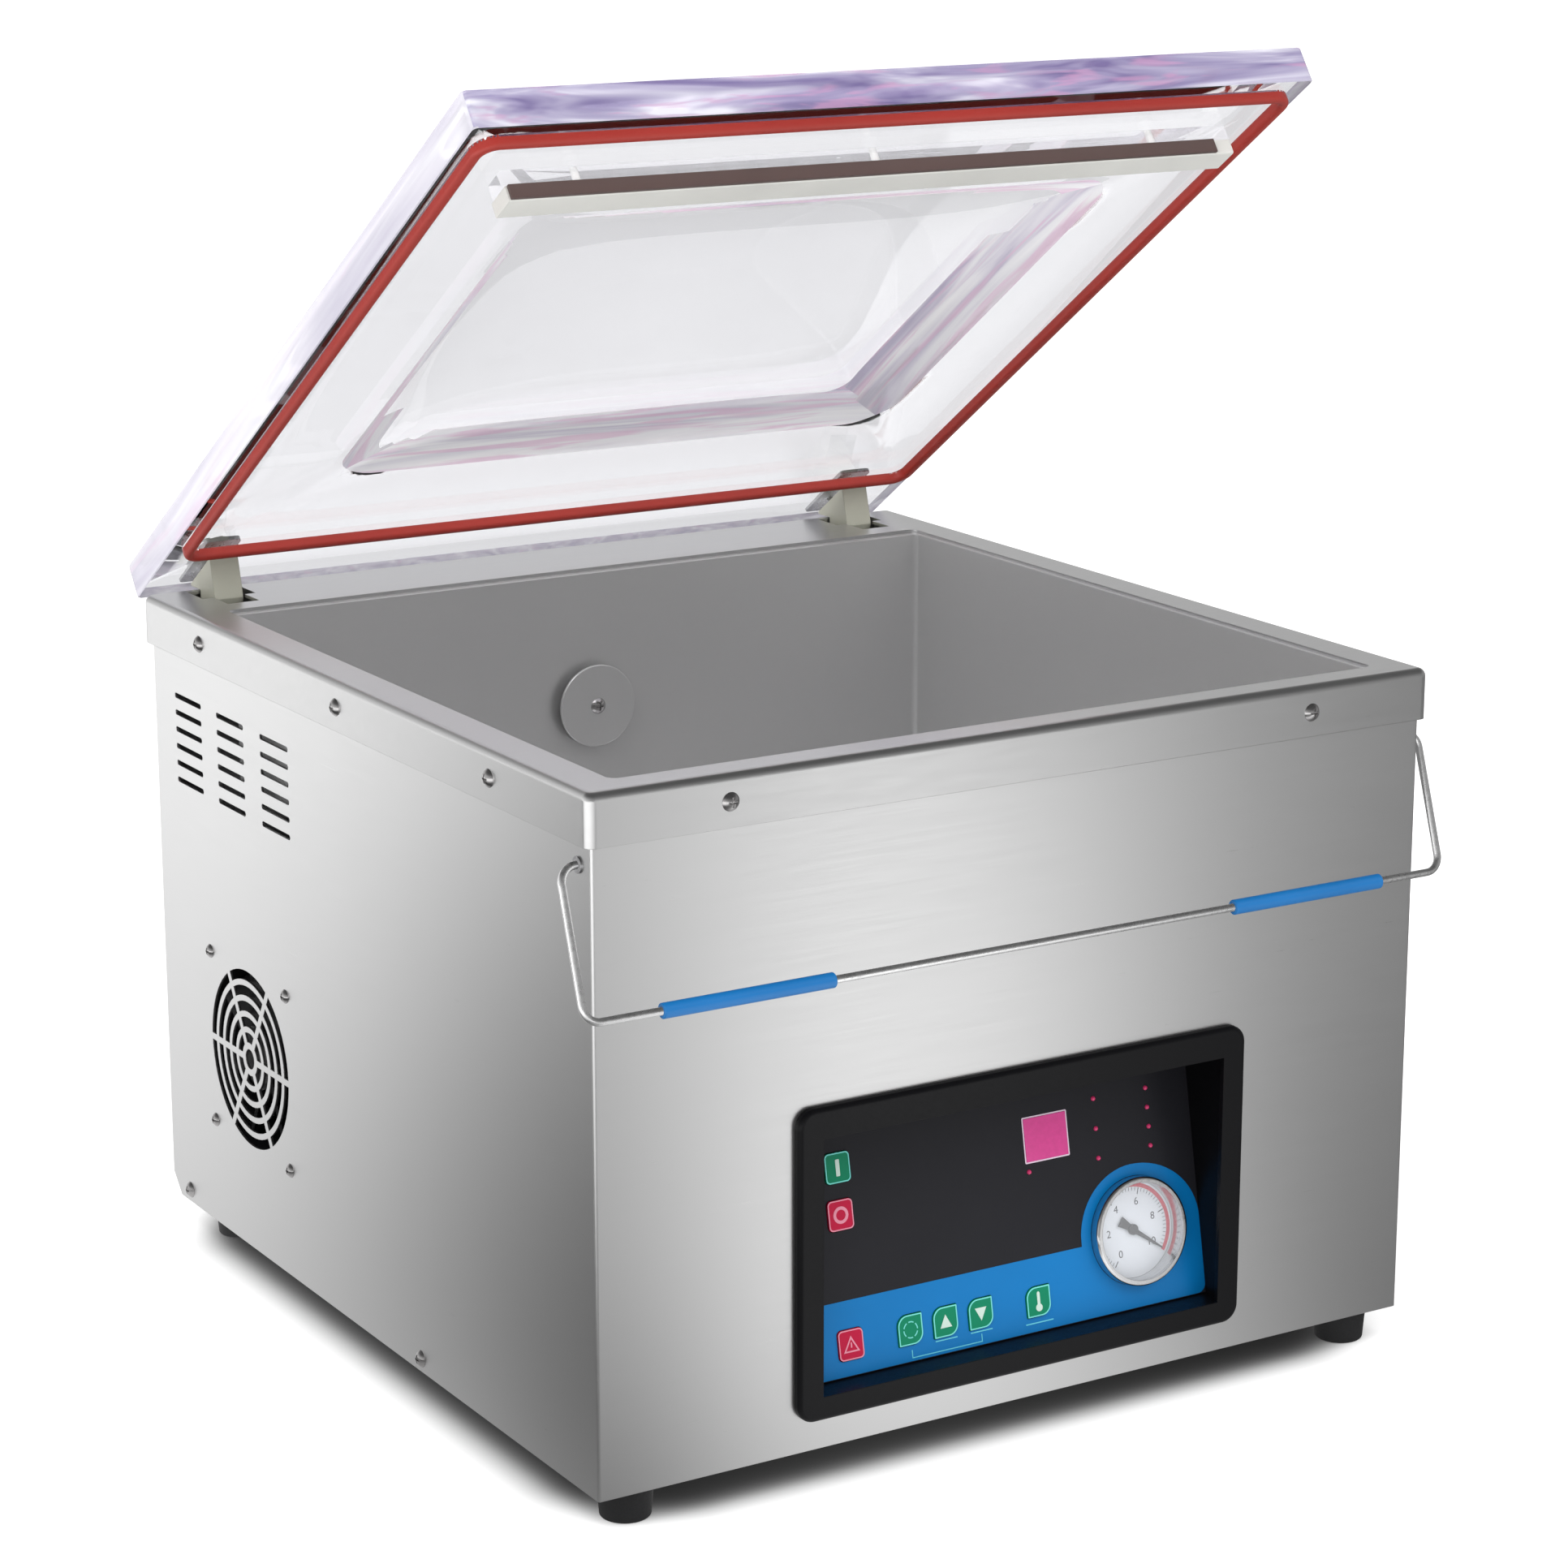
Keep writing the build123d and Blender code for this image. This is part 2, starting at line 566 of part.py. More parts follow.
def make_lift_cylinders():
    def lift(x):
        body = rod(15.0, (x, SEAL_Y, TUB_FLOOR), (0, 0, 1), LIFT_TOP - TUB_FLOOR)
        body = fillet(body.edges().group_by(Axis.Z)[-1], 2.0)
        body += rod(4.0, (x, SEAL_Y, TUB_FLOOR + 0.1), (0, 0, -1), 14.0)
        return body - rod(5.05, (x, SEAL_Y, TUB_FLOOR + 6), (0, 0, 1), 100)
    return group([lift(-LIFT_X), lift(LIFT_X)])


def make_lift_rods():
    bottom = SEAL_TOP - SEAL_H
    length = bottom - TUB_FLOOR - 10
    return group([rod(5.0, (sign * LIFT_X, SEAL_Y, bottom), (0, 0, -1), length) for sign in (-1, 1)])


# ---- lid, drawn closed and then opened ----------------------------------------------------------------
GASKET_X = 250.0
GASKET_FRONT = -266.2
GASKET_REAR = 211.0
GASKET_W = 5.6
GROOVE = 3.0
POCKET_X = 188.0
POCKET_Y = (-180.0, 122.0)
POCKET_DEPTH = 9.5
POCKET_SLOPE = 24.0
PLATE_HALF = 11.0


def loop_path(bottom, top, half_width, outer_r):
    """A rounded frame along the gasket's line."""
    x, y0, y1 = GASKET_X + half_width, GASKET_FRONT - half_width, GASKET_REAR + half_width
    return rounded_box(-x, x, y0, y1, bottom, top, outer_r + half_width)


def make_lid():
    lid = span(-LID_X, LID_X, LID_FRONT, LID_REAR, LID_BOTTOM, LID_BOTTOM + LID_T)
    lid = fillet(lid.edges().filter_by(Axis.Z), 3.0)
    lid = chamfer(lid.faces().sort_by(Axis.Z)[-1].edges(), 1.0)
    half = GASKET_W / 2
    top = LID_BOTTOM + GROOVE
    lid -= loop_path(LID_BOTTOM - 1, top, half, 10) - loop_path(LID_BOTTOM - 2, top + 1, -half, 10)
    y_mid = sum(POCKET_Y) / 2
    y_len = POCKET_Y[1] - POCKET_Y[0]
    wide = Pos(0, y_mid, LID_BOTTOM) * RectangleRounded(2 * POCKET_X, y_len, 42)
    small = Pos(0, y_mid, LID_BOTTOM + POCKET_DEPTH) * RectangleRounded(
        2 * (POCKET_X - POCKET_SLOPE), y_len - 2 * POCKET_SLOPE, 30)
    lid -= loft([wide, small])
    for point in lid_bolt_points():
        lid -= rod(2.6, (*point, LID_BOTTOM - 1), (0, 0, 1), LID_T + 2)
    for x in HOLDER_SCREWS:
        lid -= rod(2.1, (x, (BAR_FRONT + BAR_REAR) / 2, LID_BOTTOM - 1), (0, 0, 1), 12)
    return open_lid(lid)


def make_lid_gasket():
    """Round-lipped seal that sits in the lid's groove."""
    half = GASKET_W / 2 - 0.02
    lip = 5.5
    ring = loop_path(LID_BOTTOM - lip, LID_BOTTOM + GROOVE, half, 10)
    ring -= loop_path(LID_BOTTOM - lip - 1, LID_BOTTOM + GROOVE + 1, -half, 10)
    ring = fillet(ring.faces().sort_by(Axis.Z)[0].edges(), 2.4)
    return open_lid(ring)


HOLDER_SCREWS = (-180.0, 0.0, 180.0)


def make_silicone_bar_holder():
    holder = span(-BAR_X, BAR_X, BAR_FRONT + 2, BAR_REAR - 2, HOLDER_BOTTOM, LID_BOTTOM)
    for x in HOLDER_SCREWS:
        holder -= rod(2.1, (x, (BAR_FRONT + BAR_REAR) / 2, HOLDER_BOTTOM - 1), (0, 0, 1), 20)
        holder -= rod(4.3, (x, (BAR_FRONT + BAR_REAR) / 2, HOLDER_BOTTOM - 1), (0, 0, 1), 4.2)
    return open_lid(holder)


def make_silicone_bar():
    bar = span(-BAR_X, BAR_X, BAR_FRONT + 2, BAR_REAR, BAR_BOTTOM, HOLDER_BOTTOM)
    low = bar.edges().filter_by(Axis.X).group_by(Axis.Z)[0]
    return open_lid(fillet(low, 1.0))


def make_bar_retainer_strip():
    strip = span(-BAR_X + 1, BAR_X - 12, BAR_FRONT, BAR_FRONT + 2, BAR_BOTTOM + 0.6, HOLDER_BOTTOM)
    return open_lid(strip)


def lid_bolt_points():
    points = []
    for x in (-ARM_X, ARM_X):
        for back in (20.0, 40.0):
            points.append((x, LID_REAR - back))
    return points


ARM_TOE = (243.0, 371.0)
ARM_NECK = [(277.6, 373.3), (264.5, 373.3), (264.5, 343.0), (256.0, 343.0), (247.5, 352.0)]


def make_hinge_arm(sign):
    """Moulded arm: a wedge bolted under the lid, a neck through the deck's slot and an eye on the shaft."""
    x0 = sign * ARM_X - ARM_W / 2
    x1 = sign * ARM_X + ARM_W / 2
    on_lid = [opened(LID_REAR - 50.0, LID_BOTTOM), opened(LID_REAR - 14.0, LID_BOTTOM)]
    outline = [ARM_TOE, *on_lid, *ARM_NECK]
    arm = side_profile(outline, x0, x1)
    arm += rod(6.3, (x0, HINGE_Y, HINGE_Z), (1, 0, 0), ARM_W)
    arm -= rod(SHAFT_R + 0.05, (x0 - 1, HINGE_Y, HINGE_Z), (1, 0, 0), ARM_W + 2)
    for x, y in lid_bolt_points():
        arm -= open_lid(rod(2.1, (x, y, LID_BOTTOM - 12), (0, 0, 1), 20))
    return arm


def make_lid_hinge_plates():
    def plate(sign):
        x = sign * ARM_X
        top = LID_BOTTOM + LID_T
        steel = span(x - PLATE_HALF, x + PLATE_HALF, LID_REAR - 58, LID_REAR - 2, top, top + 2.5)
        steel = fillet(steel.edges().filter_by(Axis.Z), 3)
        for bolt_x, bolt_y in lid_bolt_points():
            steel -= rod(2.6, (bolt_x, bolt_y, top - 1), (0, 0, 1), 5)
        return open_lid(steel)
    return group([plate(-1), plate(1)])


def make_lid_screws():
    """Bolts through the hinge plates, and the countersunk screws of the bar holder."""
    bolt = round_head_screw(head_r=4.8, head_h=2.6, shank_r=2.0, shank=LID_T + 2.5 + 3.5)
    pieces = []
    for x, y in lid_bolt_points():
        pieces.append(screw_at((x, y, LID_BOTTOM + LID_T + 2.5), (0, 0, -1), bolt))
    short = rod(4.2, (0, 0, 0), (0, 0, 1), 3.0) + rod(2.0, (0, 0, 2.9), (0, 0, 1), 14.0)
    for x in HOLDER_SCREWS:
        pieces.append(Pos(x, (BAR_FRONT + BAR_REAR) / 2, HOLDER_BOTTOM + 0.1) * short)
    return group([open_lid(piece) for piece in pieces])


# ---- hinge hardware in the housing --------------------------------------------------------------------
SHAFT_HALF = 246.0


def make_hinge_shaft():
    return rod(SHAFT_R, (-SHAFT_HALF, HINGE_Y, HINGE_Z), (1, 0, 0), 2 * SHAFT_HALF)


EAR_OUTLINE = [(246.0, 370.5), (268.5, 370.5), (268.5, 336.0), (255.0, 336.0)]
EARS = [((199.0, 203.0), (183.0, 203.0)), ((238.5, 242.5), (238.5, 255.0))]   # ear and foot, from and to in x


def make_hinge_brackets():
    """Four angle brackets that hang the shaft under the deck, one on each side of each arm's slot."""
    pieces = []
    for (ear_0, ear_1), (foot_0, foot_1) in EARS:
        bracket = side_profile(EAR_OUTLINE, ear_0, ear_1)
        bracket += span(foot_0, foot_1, 228, 268.5, 368.5, 370.5)
        bracket -= rod(SHAFT_R + 0.02, (foot_0 - 1, HINGE_Y, HINGE_Z), (1, 0, 0), foot_1 - foot_0 + 2)
        pieces += both_sides(bracket)
    return group(pieces)


def make_lid_springs():
    """One torsion spring on the shaft beside each arm, with its leg under the deck."""
    turns = 9
    pitch = 2.6

    def spring(sign):
        radius = SHAFT_R + 1.6
        coil = Helix(pitch=pitch, height=turns * pitch, radius=radius)
        section = Plane(origin=coil @ 0, z_dir=coil % 0) * Circle(0.9)
        wound = sweep(section, path=coil, is_frenet=True)
        return Pos(sign * 180 - (turns * pitch / 2), HINGE_Y, HINGE_Z) * Rot(0, 90, 0) * wound
    return group([spring(-1), spring(1)])


# ---- bail ---------------------------------------------------------------------------------------------
def make_bail_wire():
    end = 253.0
    low_y, low_z = CROSSBAR
    points = [(-end, BAIL_Y, BAIL_Z), (-BAIL_X, BAIL_Y, BAIL_Z), (-BAIL_X, low_y, low_z),
              (BAIL_X, low_y, low_z), (BAIL_X, BAIL_Y, BAIL_Z), (end, BAIL_Y, BAIL_Z)]
    path = FilletPolyline(*points, radius=9.0)
    section = Plane(origin=points[0], z_dir=(-1, 0, 0)) * Circle(WIRE_R)
    return sweep(section, path=path)


def make_bail_sleeve(sign):
    start = (sign * SLEEVE_X - SLEEVE_LEN / 2, *CROSSBAR)
    sleeve = rod(SLEEVE_R, start, (1, 0, 0), SLEEVE_LEN)
    sleeve = fillet(sleeve.edges(), 0.6)
    return sleeve - rod(WIRE_R + 0.02, (start[0] - 1, *CROSSBAR), (1, 0, 0), SLEEVE_LEN + 2)


def make_bail_bushes():
    def bush(sign):
        out = (sign, 0, 0)
        piece = rod(BUSH_R, (sign * 254, BAIL_Y, BAIL_Z), out, PANEL_X - 254 + 0.1)
        piece += rod(BUSH_R + 1.2, (sign * PANEL_X, BAIL_Y, BAIL_Z), out, 0.8)
        return piece - rod(WIRE_R + 0.06, (sign * 250, BAIL_Y, BAIL_Z), out, 15)
    return group([bush(-1), bush(1)])


# ---- machinery under the chamber ----------------------------------------------------------------------
PUMP_Z = 12.0


def make_vacuum_pump():
    """Rotary pump block with an oil reservoir, an exhaust filter and cooling ribs."""
    pump = span(-85, 85, -20, 115, PUMP_Z + 10, 140)
    pump = fillet(pump.edges().filter_by(Axis.X), 12)
    pump += span(-80, -10, -10, 105, 130, 185)
    for step in range(6):
        pump += span(0 + step * 14, 4 + step * 14, -10, 105, 130, 160)
    pump += span(-75, 75, -10, 20, PUMP_Z, PUMP_Z + 12)
    pump += span(-75, 75, 75, 105, PUMP_Z, PUMP_Z + 12)
    return pump


def make_pump_motor():
    motor = rod(52, (85, 45, 80), (1, 0, 0), 140)
    for step in range(12):
        fin = Pos(150, 45, 80) * Rot(30 * step, 0, 0) * Pos(0, 0, 54) * Box(110, 3, 10)
        motor += fin
    motor += rod(56, (205, 45, 80), (1, 0, 0), 24)
    return fillet(motor.faces().sort_by(Axis.X)[-1].edges(), 6)


MOUNT_POINTS = [(-60, 5), (60, 5), (-60, 90), (60, 90)]


def make_pump_mounts():
    return group([rod(11, (x, y, SHEET), (0, 0, 1), PUMP_Z - SHEET) for x, y in MOUNT_POINTS])


def make_valve_block():
    block = span(-30, 30, 115, 172, 95, 145)
    for x in (-18, 18):
        block += rod(12, (x, 135, 144), (0, 0, 1), 34)
    block += rod(8, (PORT[0], 171, 120), (0, 1, 0), 16)
    return block - rod(6, (PORT[0], 168, 120), (0, 1, 0), 20)


def make_vacuum_hose():
    """Hose from the port's stub, down behind the chamber, to the valve block."""
    points = [(PORT[0], TUB_REAR + 6, PORT[1]), (PORT[0], 241, PORT[1]), (PORT[0], 241, 120),
              (PORT[0], 174, 120)]
    path = FilletPolyline(*points, radius=26.0)
    section = Plane(origin=points[0], z_dir=(0, 1, 0)) * (Circle(11) - Circle(8.02))
    return sweep(section, path=path)


def make_transformer():
    core = span(-200, -120, -165, -85, SHEET, 70)
    coil = span(-206, -114, -150, -100, 16, 56)
    return core + coil


ROCKER_R = 8.0
ROCKER_X = 150.0


def make_power_inlet():
    """Panel module with a recessed three-pin inlet and a bay for the mains rocker."""
    x, z = INLET
    half_x, half_z = INLET_BODY[0] / 2, INLET_BODY[1] / 2
    body = span(x - half_x, x + half_x, PANEL_Y - 26, PANEL_Y + 0.1, z - half_z, z + half_z)
    body += fillet(span(x - half_x - 3, x + half_x + 3, PANEL_Y, PANEL_Y + 2.2,
                        z - half_z - 3, z + half_z + 3).edges().filter_by(Axis.Y), 2)
    socket_x = x + 12
    body -= span(socket_x - 12.5, socket_x + 12.5, PANEL_Y - 15, PANEL_Y + 5, z - 9, z + 9)
    for dx, dz in ((-7, -3.5), (7, -3.5), (0, 0.5)):
        body += span(socket_x + dx - 1, socket_x + dx + 1, PANEL_Y - 16, PANEL_Y - 2, z + dz - 2, z + dz + 2)
    bay = ROCKER_R + 0.4
    body -= span(ROCKER_X - 6, ROCKER_X + 6, PANEL_Y - 12, PANEL_Y + 5, z - bay, z + bay)
    return body


def make_mains_switch():
    """Rocker with a shallow V front, on a pin inside its bay."""
    y, z = PANEL_Y - 2.0, INLET[1]
    rocker = rod(ROCKER_R, (ROCKER_X - 5.6, y, z), (1, 0, 0), 11.2)
    rocker &= span(ROCKER_X - 6, ROCKER_X + 6, y - 6, y + 4.8, z - ROCKER_R, z + ROCKER_R)
    cut = Pos(ROCKER_X, y + 9.0, z) * Rot(8, 0, 0) * Pos(0, 0, 6) * Box(20, 10, 14)
    return rocker - cut


# ---- everything ---------------------------------------------------------------------------------------
save("base_plate", make_base_plate())
save("front_panel", make_front_panel())
save("left_side_panel", make_side_panel(-1))
save("right_side_panel", make_side_panel(1))
save("rear_panel", make_rear_panel())
save("top_deck", make_top_deck())
save("vacuum_chamber", make_vacuum_chamber())
save("rubber_feet", group([make_rubber_foot(x, y) for x, y in FOOT_POINTS]))
save("foot_screws", group([make_foot_screw(x, y) for x, y in FOOT_POINTS]))
save("housing_screws", make_housing_screws())

save("fan_frame", make_fan_frame())
save("fan_rotor", make_fan_rotor())
save("fan_screws", make_fan_screws())

save("control_bezel", make_control_bezel())
save("control_plate", make_control_plate())
save("display_window", make_display_window())
for node, (key_x, key_y, key_kind) in KEYS.items():
    save(node, make_key(key_x, key_y, key_kind))
save("indicator_lamps", make_indicator_lamps())
save("gauge_case", make_gauge_case())
save("gauge_dial", make_gauge_dial())
save("gauge_needle", make_gauge_needle())
save("gauge_lens", make_gauge_lens())
save("circuit_board", make_circuit_board())

save("port_cover", make_port_cover())
save("port_screw", make_port_screw())
save("seal_bar", make_seal_bar())
save("heating_strip", make_heating_strip())
save("sealing_tape", make_sealing_tape())
save("lift_cylinders", make_lift_cylinders())
save("lift_rods", make_lift_rods())

save("lid", make_lid())
save("lid_gasket", make_lid_gasket())
save("silicone_bar_holder", make_silicone_bar_holder())
save("silicone_bar", make_silicone_bar())
save("bar_retainer_strip", make_bar_retainer_strip())
save("left_hinge_arm", make_hinge_arm(-1))
save("right_hinge_arm", make_hinge_arm(1))
save("lid_hinge_plates", make_lid_hinge_plates())
save("lid_screws", make_lid_screws())
save("hinge_shaft", make_hinge_shaft())
save("hinge_brackets", make_hinge_brackets())
save("lid_springs", make_lid_springs())

save("bail_wire", make_bail_wire())
save("left_bail_sleeve", make_bail_sleeve(-1))
save("right_bail_sleeve", make_bail_sleeve(1))
save("bail_bushes", make_bail_bushes())

save("vacuum_pump", make_vacuum_pump())
save("pump_motor", make_pump_motor())
save("pump_mounts", make_pump_mounts())
save("valve_block", make_valve_block())
save("vacuum_hose", make_vacuum_hose())
save("transformer", make_transformer())
save("power_inlet", make_power_inlet())
save("mains_switch", make_mains_switch())
print("frame shift", TO_FRAME.position, "plate lean", math.degrees(PLATE_LEAN))
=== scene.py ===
"""Looks of the table-top vacuum chamber sealer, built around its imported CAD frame."""
import json
import math

import bmesh
import bpy
from mathutils import Matrix, Vector
from mathutils.geometry import tessellate_polygon


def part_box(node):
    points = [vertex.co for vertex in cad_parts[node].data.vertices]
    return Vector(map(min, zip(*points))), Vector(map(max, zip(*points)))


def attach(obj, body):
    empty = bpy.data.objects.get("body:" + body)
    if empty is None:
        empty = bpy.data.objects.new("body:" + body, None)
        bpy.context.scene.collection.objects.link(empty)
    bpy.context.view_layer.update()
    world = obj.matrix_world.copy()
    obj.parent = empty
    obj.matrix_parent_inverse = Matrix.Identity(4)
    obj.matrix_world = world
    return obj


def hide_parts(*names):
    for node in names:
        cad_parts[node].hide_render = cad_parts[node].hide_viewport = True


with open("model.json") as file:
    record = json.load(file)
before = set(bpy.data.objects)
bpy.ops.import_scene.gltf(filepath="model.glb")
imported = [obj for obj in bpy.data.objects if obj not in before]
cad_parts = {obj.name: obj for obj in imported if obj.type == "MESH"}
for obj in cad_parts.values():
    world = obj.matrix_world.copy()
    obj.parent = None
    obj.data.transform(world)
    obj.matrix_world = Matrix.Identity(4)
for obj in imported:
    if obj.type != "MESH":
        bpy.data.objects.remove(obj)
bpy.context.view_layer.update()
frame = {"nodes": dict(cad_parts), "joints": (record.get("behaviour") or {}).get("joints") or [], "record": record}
nodes = frame["nodes"]
MM = 0.001

# ---- places taken from the frame ----------------------------------------------------------------------
deck_lo, deck_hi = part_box("top_deck")
base_lo, base_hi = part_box("base_plate")
# The housing's own origin: the middle of the deck's outline, at the underside of the base plate.
HOUSING = Vector(((deck_lo.x + deck_hi.x) / 2, (deck_lo.y + deck_hi.y) / 2, base_lo.z))

lid_joint = next(joint for joint in frame["joints"] if joint["name"] == "lid_hinge")
LID_PIVOT = Vector(lid_joint["pos_m"])
LID_OPEN = math.radians(lid_joint["range_deg"][1])
# Lid pieces are drawn closed, and this turns them to the open rest pose.
TO_OPEN = (Matrix.Translation(LID_PIVOT) @ Matrix.Rotation(-LID_OPEN, 4, Vector(lid_joint["axis"]))
           @ Matrix.Translation(-LID_PIVOT))


def closed_box(node):
    """Lowest and highest corner of a lid node with the lid closed."""
    back = TO_OPEN.inverted()
    points = [back @ vertex.co for vertex in nodes[node].data.vertices]
    low = Vector([min(point[axis] for point in points) for axis in range(3)])
    high = Vector([max(point[axis] for point in points) for axis in range(3)])
    return low, high


# ---- camera, floor and light --------------------------------------------------------------------------
CAMERA_PLACE = HOUSING + Vector((-1.1868, -1.9772, 0.8785))
CAMERA_AZIMUTH = math.radians(-31.31)
CAMERA_ELEVATION = math.radians(14.51)
CAMERA_LENS = 95.1
LIT_POINT = Vector((0, 0, 0.3))


def backwards(azimuth, elevation):
    """Direction from the object to a camera or a light."""
    return Vector((math.sin(azimuth) * math.cos(elevation), -math.cos(azimuth) * math.cos(elevation),
                   math.sin(elevation)))


def make_camera():
    data = bpy.data.cameras.new("camera")
    data.lens = CAMERA_LENS
    data.sensor_width = 36.0
    data.clip_end = 60.0
    camera = bpy.data.objects.new("camera", data)
    camera.location = CAMERA_PLACE
    turn = (-backwards(CAMERA_AZIMUTH, CAMERA_ELEVATION)).to_track_quat("-Z", "Y")
    camera.rotation_mode = "QUATERNION"
    camera.rotation_quaternion = turn
    bpy.context.scene.collection.objects.link(camera)
    bpy.context.scene.camera = camera


def add_softbox(name, azimuth, elevation, distance, size, power):
    """A rectangular light that looks at the middle of the object."""
    data = bpy.data.lights.new(name, "AREA")
    data.shape = "RECTANGLE"
    data.size, data.size_y = size
    data.energy = power
    light = bpy.data.objects.new(name, data)
    direction = backwards(math.radians(azimuth), math.radians(elevation))
    light.location = LIT_POINT + direction * distance
    light.rotation_mode = "QUATERNION"
    light.rotation_quaternion = direction.to_track_quat("Z", "Y")
    light.visible_glossy = False
    bpy.context.scene.collection.objects.link(light)


# Satin sheet mirrors the floor in front of it, so the floor that reflections see is shaded like a studio
# sweep with a lit strip: what a panel shows depends on where the reflected ray starts on it.
MIRROR_ACROSS = math.tan(-CAMERA_AZIMUTH)
# Stops across the front face and along the left face: where the reflected ray leaves the panel, and a grey.
# The low part of a panel mirrors the floor close by, and its top the floor further away.
FRONT_SPAN = (-2.2, 0.8)
FRONT_STRIP = [(-2.0, 0.40), (-1.3, 0.24), (-0.80, 0.13), (-0.42, 0.155), (-0.30, 0.50), (-0.12, 0.30),
               (0.10, 0.04), (0.50, 0.10)]
FRONT_STRIP_FAR = [(-2.0, 0.70), (-1.3, 0.40), (-0.80, 0.11), (-0.42, 0.13), (-0.30, 1.0), (-0.12, 0.74),
                   (0.06, 0.08), (0.50, 0.09)]
LEFT_SPAN = (-2.6, 0.8)
LEFT_STRIP = [(-2.4, 0.40), (-1.7, 0.24), (-1.30, 0.05), (-0.75, 0.035), (-0.55, 0.10), (-0.25, 0.34),
              (0.0, 0.36), (0.5, 0.21)]
LEFT_STRIP_FAR = [(-2.4, 0.75), (-1.7, 0.40), (-1.30, 0.0), (-0.78, 0.01), (-0.55, 0.10), (-0.25, 0.72),
                  (0.0, 0.86), (0.5, 0.55)]
# Distance in front of the origin and to its left, and the share of the far strip.
FAR_SPAN = (0.0, 2.0)
FAR_IN_FRONT = [(0.44, 0.0), (1.36, 1.0)]
FAR_TO_THE_LEFT = [(0.36, 0.0), (0.92, 1.0)]
# Which face a part of the floor is mirrored in: 0 is the front face, 1 the left one.
SIDE_SPAN = (-1.0, 1.0)
SIDE_SHARE = [(-0.35, 0.0), (0.35, 1.0)]
STRIP_STRENGTH = 2.6

# The soft painted shadow round the foot of the machine, in the floor's colour and glow: distance in metres
# from the housing's outline, made smaller by the inset, and the floor's tone.
SHADOW_INSET = 0.07
SHADOW_SPAN = (0.0, 0.10)
PAINTED_CONTACT_SHADOW = [(0.0, 0.024), (0.036, 0.026), (0.050, 0.04), (0.060, 0.11), (0.069, 0.36), (0.079, 0.72),
                 (0.090, 0.92)]
FLOOR_SIZE = 40.0
FLOOR_GLOW = 0.30

# What reflections see of the world: greys around the horizon, from the front right to the rear left, and the
# share of the dark overhead by height.
REAR_LEFT = (-0.52, 0.85)
AROUND_SPAN = (-1.0, 1.0)
AROUND = [(-1.0, 0.25), (0.0, 0.60), (1.0, 0.95)]
OVERHEAD_SPAN = (0.0, 1.0)
OVERHEAD = [(0.30, 0.0), (0.55, 1.0), (1.0, 1.0)]
OVERHEAD_GREY = 0.10


def blend_node(tree, factor, a, b):
    """Mix two colour sockets or greys by a factor socket."""
    mix = tree.nodes.new("ShaderNodeMix")
    mix.data_type = "RGBA"
    tree.links.new(factor, mix.inputs["Factor"])
    for socket, value in (("A", a), ("B", b)):
        if isinstance(value, float):
            mix.inputs[socket].default_value = (value, value, value, 1)
        else:
            tree.links.new(value, mix.inputs[socket])
    return mix.outputs["Result"]


def slope_ramp(tree, x, y, slope_x, slope_y, span, stops):
    """Grey by the value slope_x * x + slope_y * y, with stops of a value within the span and a grey."""
    low, high = span
    total = None
    for socket, factor in ((x, slope_x), (y, slope_y)):
        times = tree.nodes.new("ShaderNodeMath")
        times.operation = "MULTIPLY_ADD"
        tree.links.new(socket, times.inputs[0])
        times.inputs[1].default_value = factor
        if total is None:
            times.inputs[2].default_value = 0.0
        else:
            tree.links.new(total, times.inputs[2])
        total = times.outputs[0]
    position = tree.nodes.new("ShaderNodeMapRange")
    tree.links.new(total, position.inputs["Value"])
    position.inputs["From Min"].default_value = low
    position.inputs["From Max"].default_value = high
    ramp = tree.nodes.new("ShaderNodeValToRGB")
    ramp.color_ramp.interpolation = "B_SPLINE"
    elements = ramp.color_ramp.elements
    while len(elements) < len(stops):
        elements.new(0.5)
    for element, (value, grey) in zip(elements, stops):
        element.position = (value - low) / (high - low)
        element.color = (grey, grey, grey, 1)
    tree.links.new(position.outputs["Result"], ramp.inputs["Fac"])
    return ramp.outputs["Color"]


def mirror_rays(tree):
    """1 for rays that a surface reflects, 0 for the camera's own rays and those that come through glass."""
    path = tree.nodes.new("ShaderNodeLightPath")
    reflected = tree.nodes.new("ShaderNodeMath")
    reflected.operation = "SUBTRACT"
    reflected.use_clamp = True
    tree.links.new(path.outputs["Is Glossy Ray"], reflected.inputs[0])
    tree.links.new(path.outputs["Is Transmission Ray"], reflected.inputs[1])
    return reflected.outputs[0]


def footprint_distance(shader, inset):
    """Distance on the floor from the housing's outline, which is first made smaller by the inset."""
    moved = shader.node("VectorMath", operation="SUBTRACT")
    shader.link(shader.coords, moved.inputs[0])
    moved.inputs[1].default_value = (HOUSING.x, HOUSING.y, 0)
    mirrored = shader.node("VectorMath", operation="ABSOLUTE")
    shader.link(moved.outputs[0], mirrored.inputs[0])
    beyond = shader.node("VectorMath", operation="SUBTRACT")
    shader.link(mirrored.outputs[0], beyond.inputs[0])
    beyond.inputs[1].default_value = (base_hi.x - HOUSING.x - inset, base_hi.y - HOUSING.y - inset, 0)
    outside = shader.node("VectorMath", operation="MAXIMUM")
    shader.link(beyond.outputs[0], outside.inputs[0])
    outside.inputs[1].default_value = (0, 0, 0)
    length = shader.node("VectorMath", operation="LENGTH")
    shader.link(outside.outputs[0], length.inputs[0])
    return length.outputs["Value"]


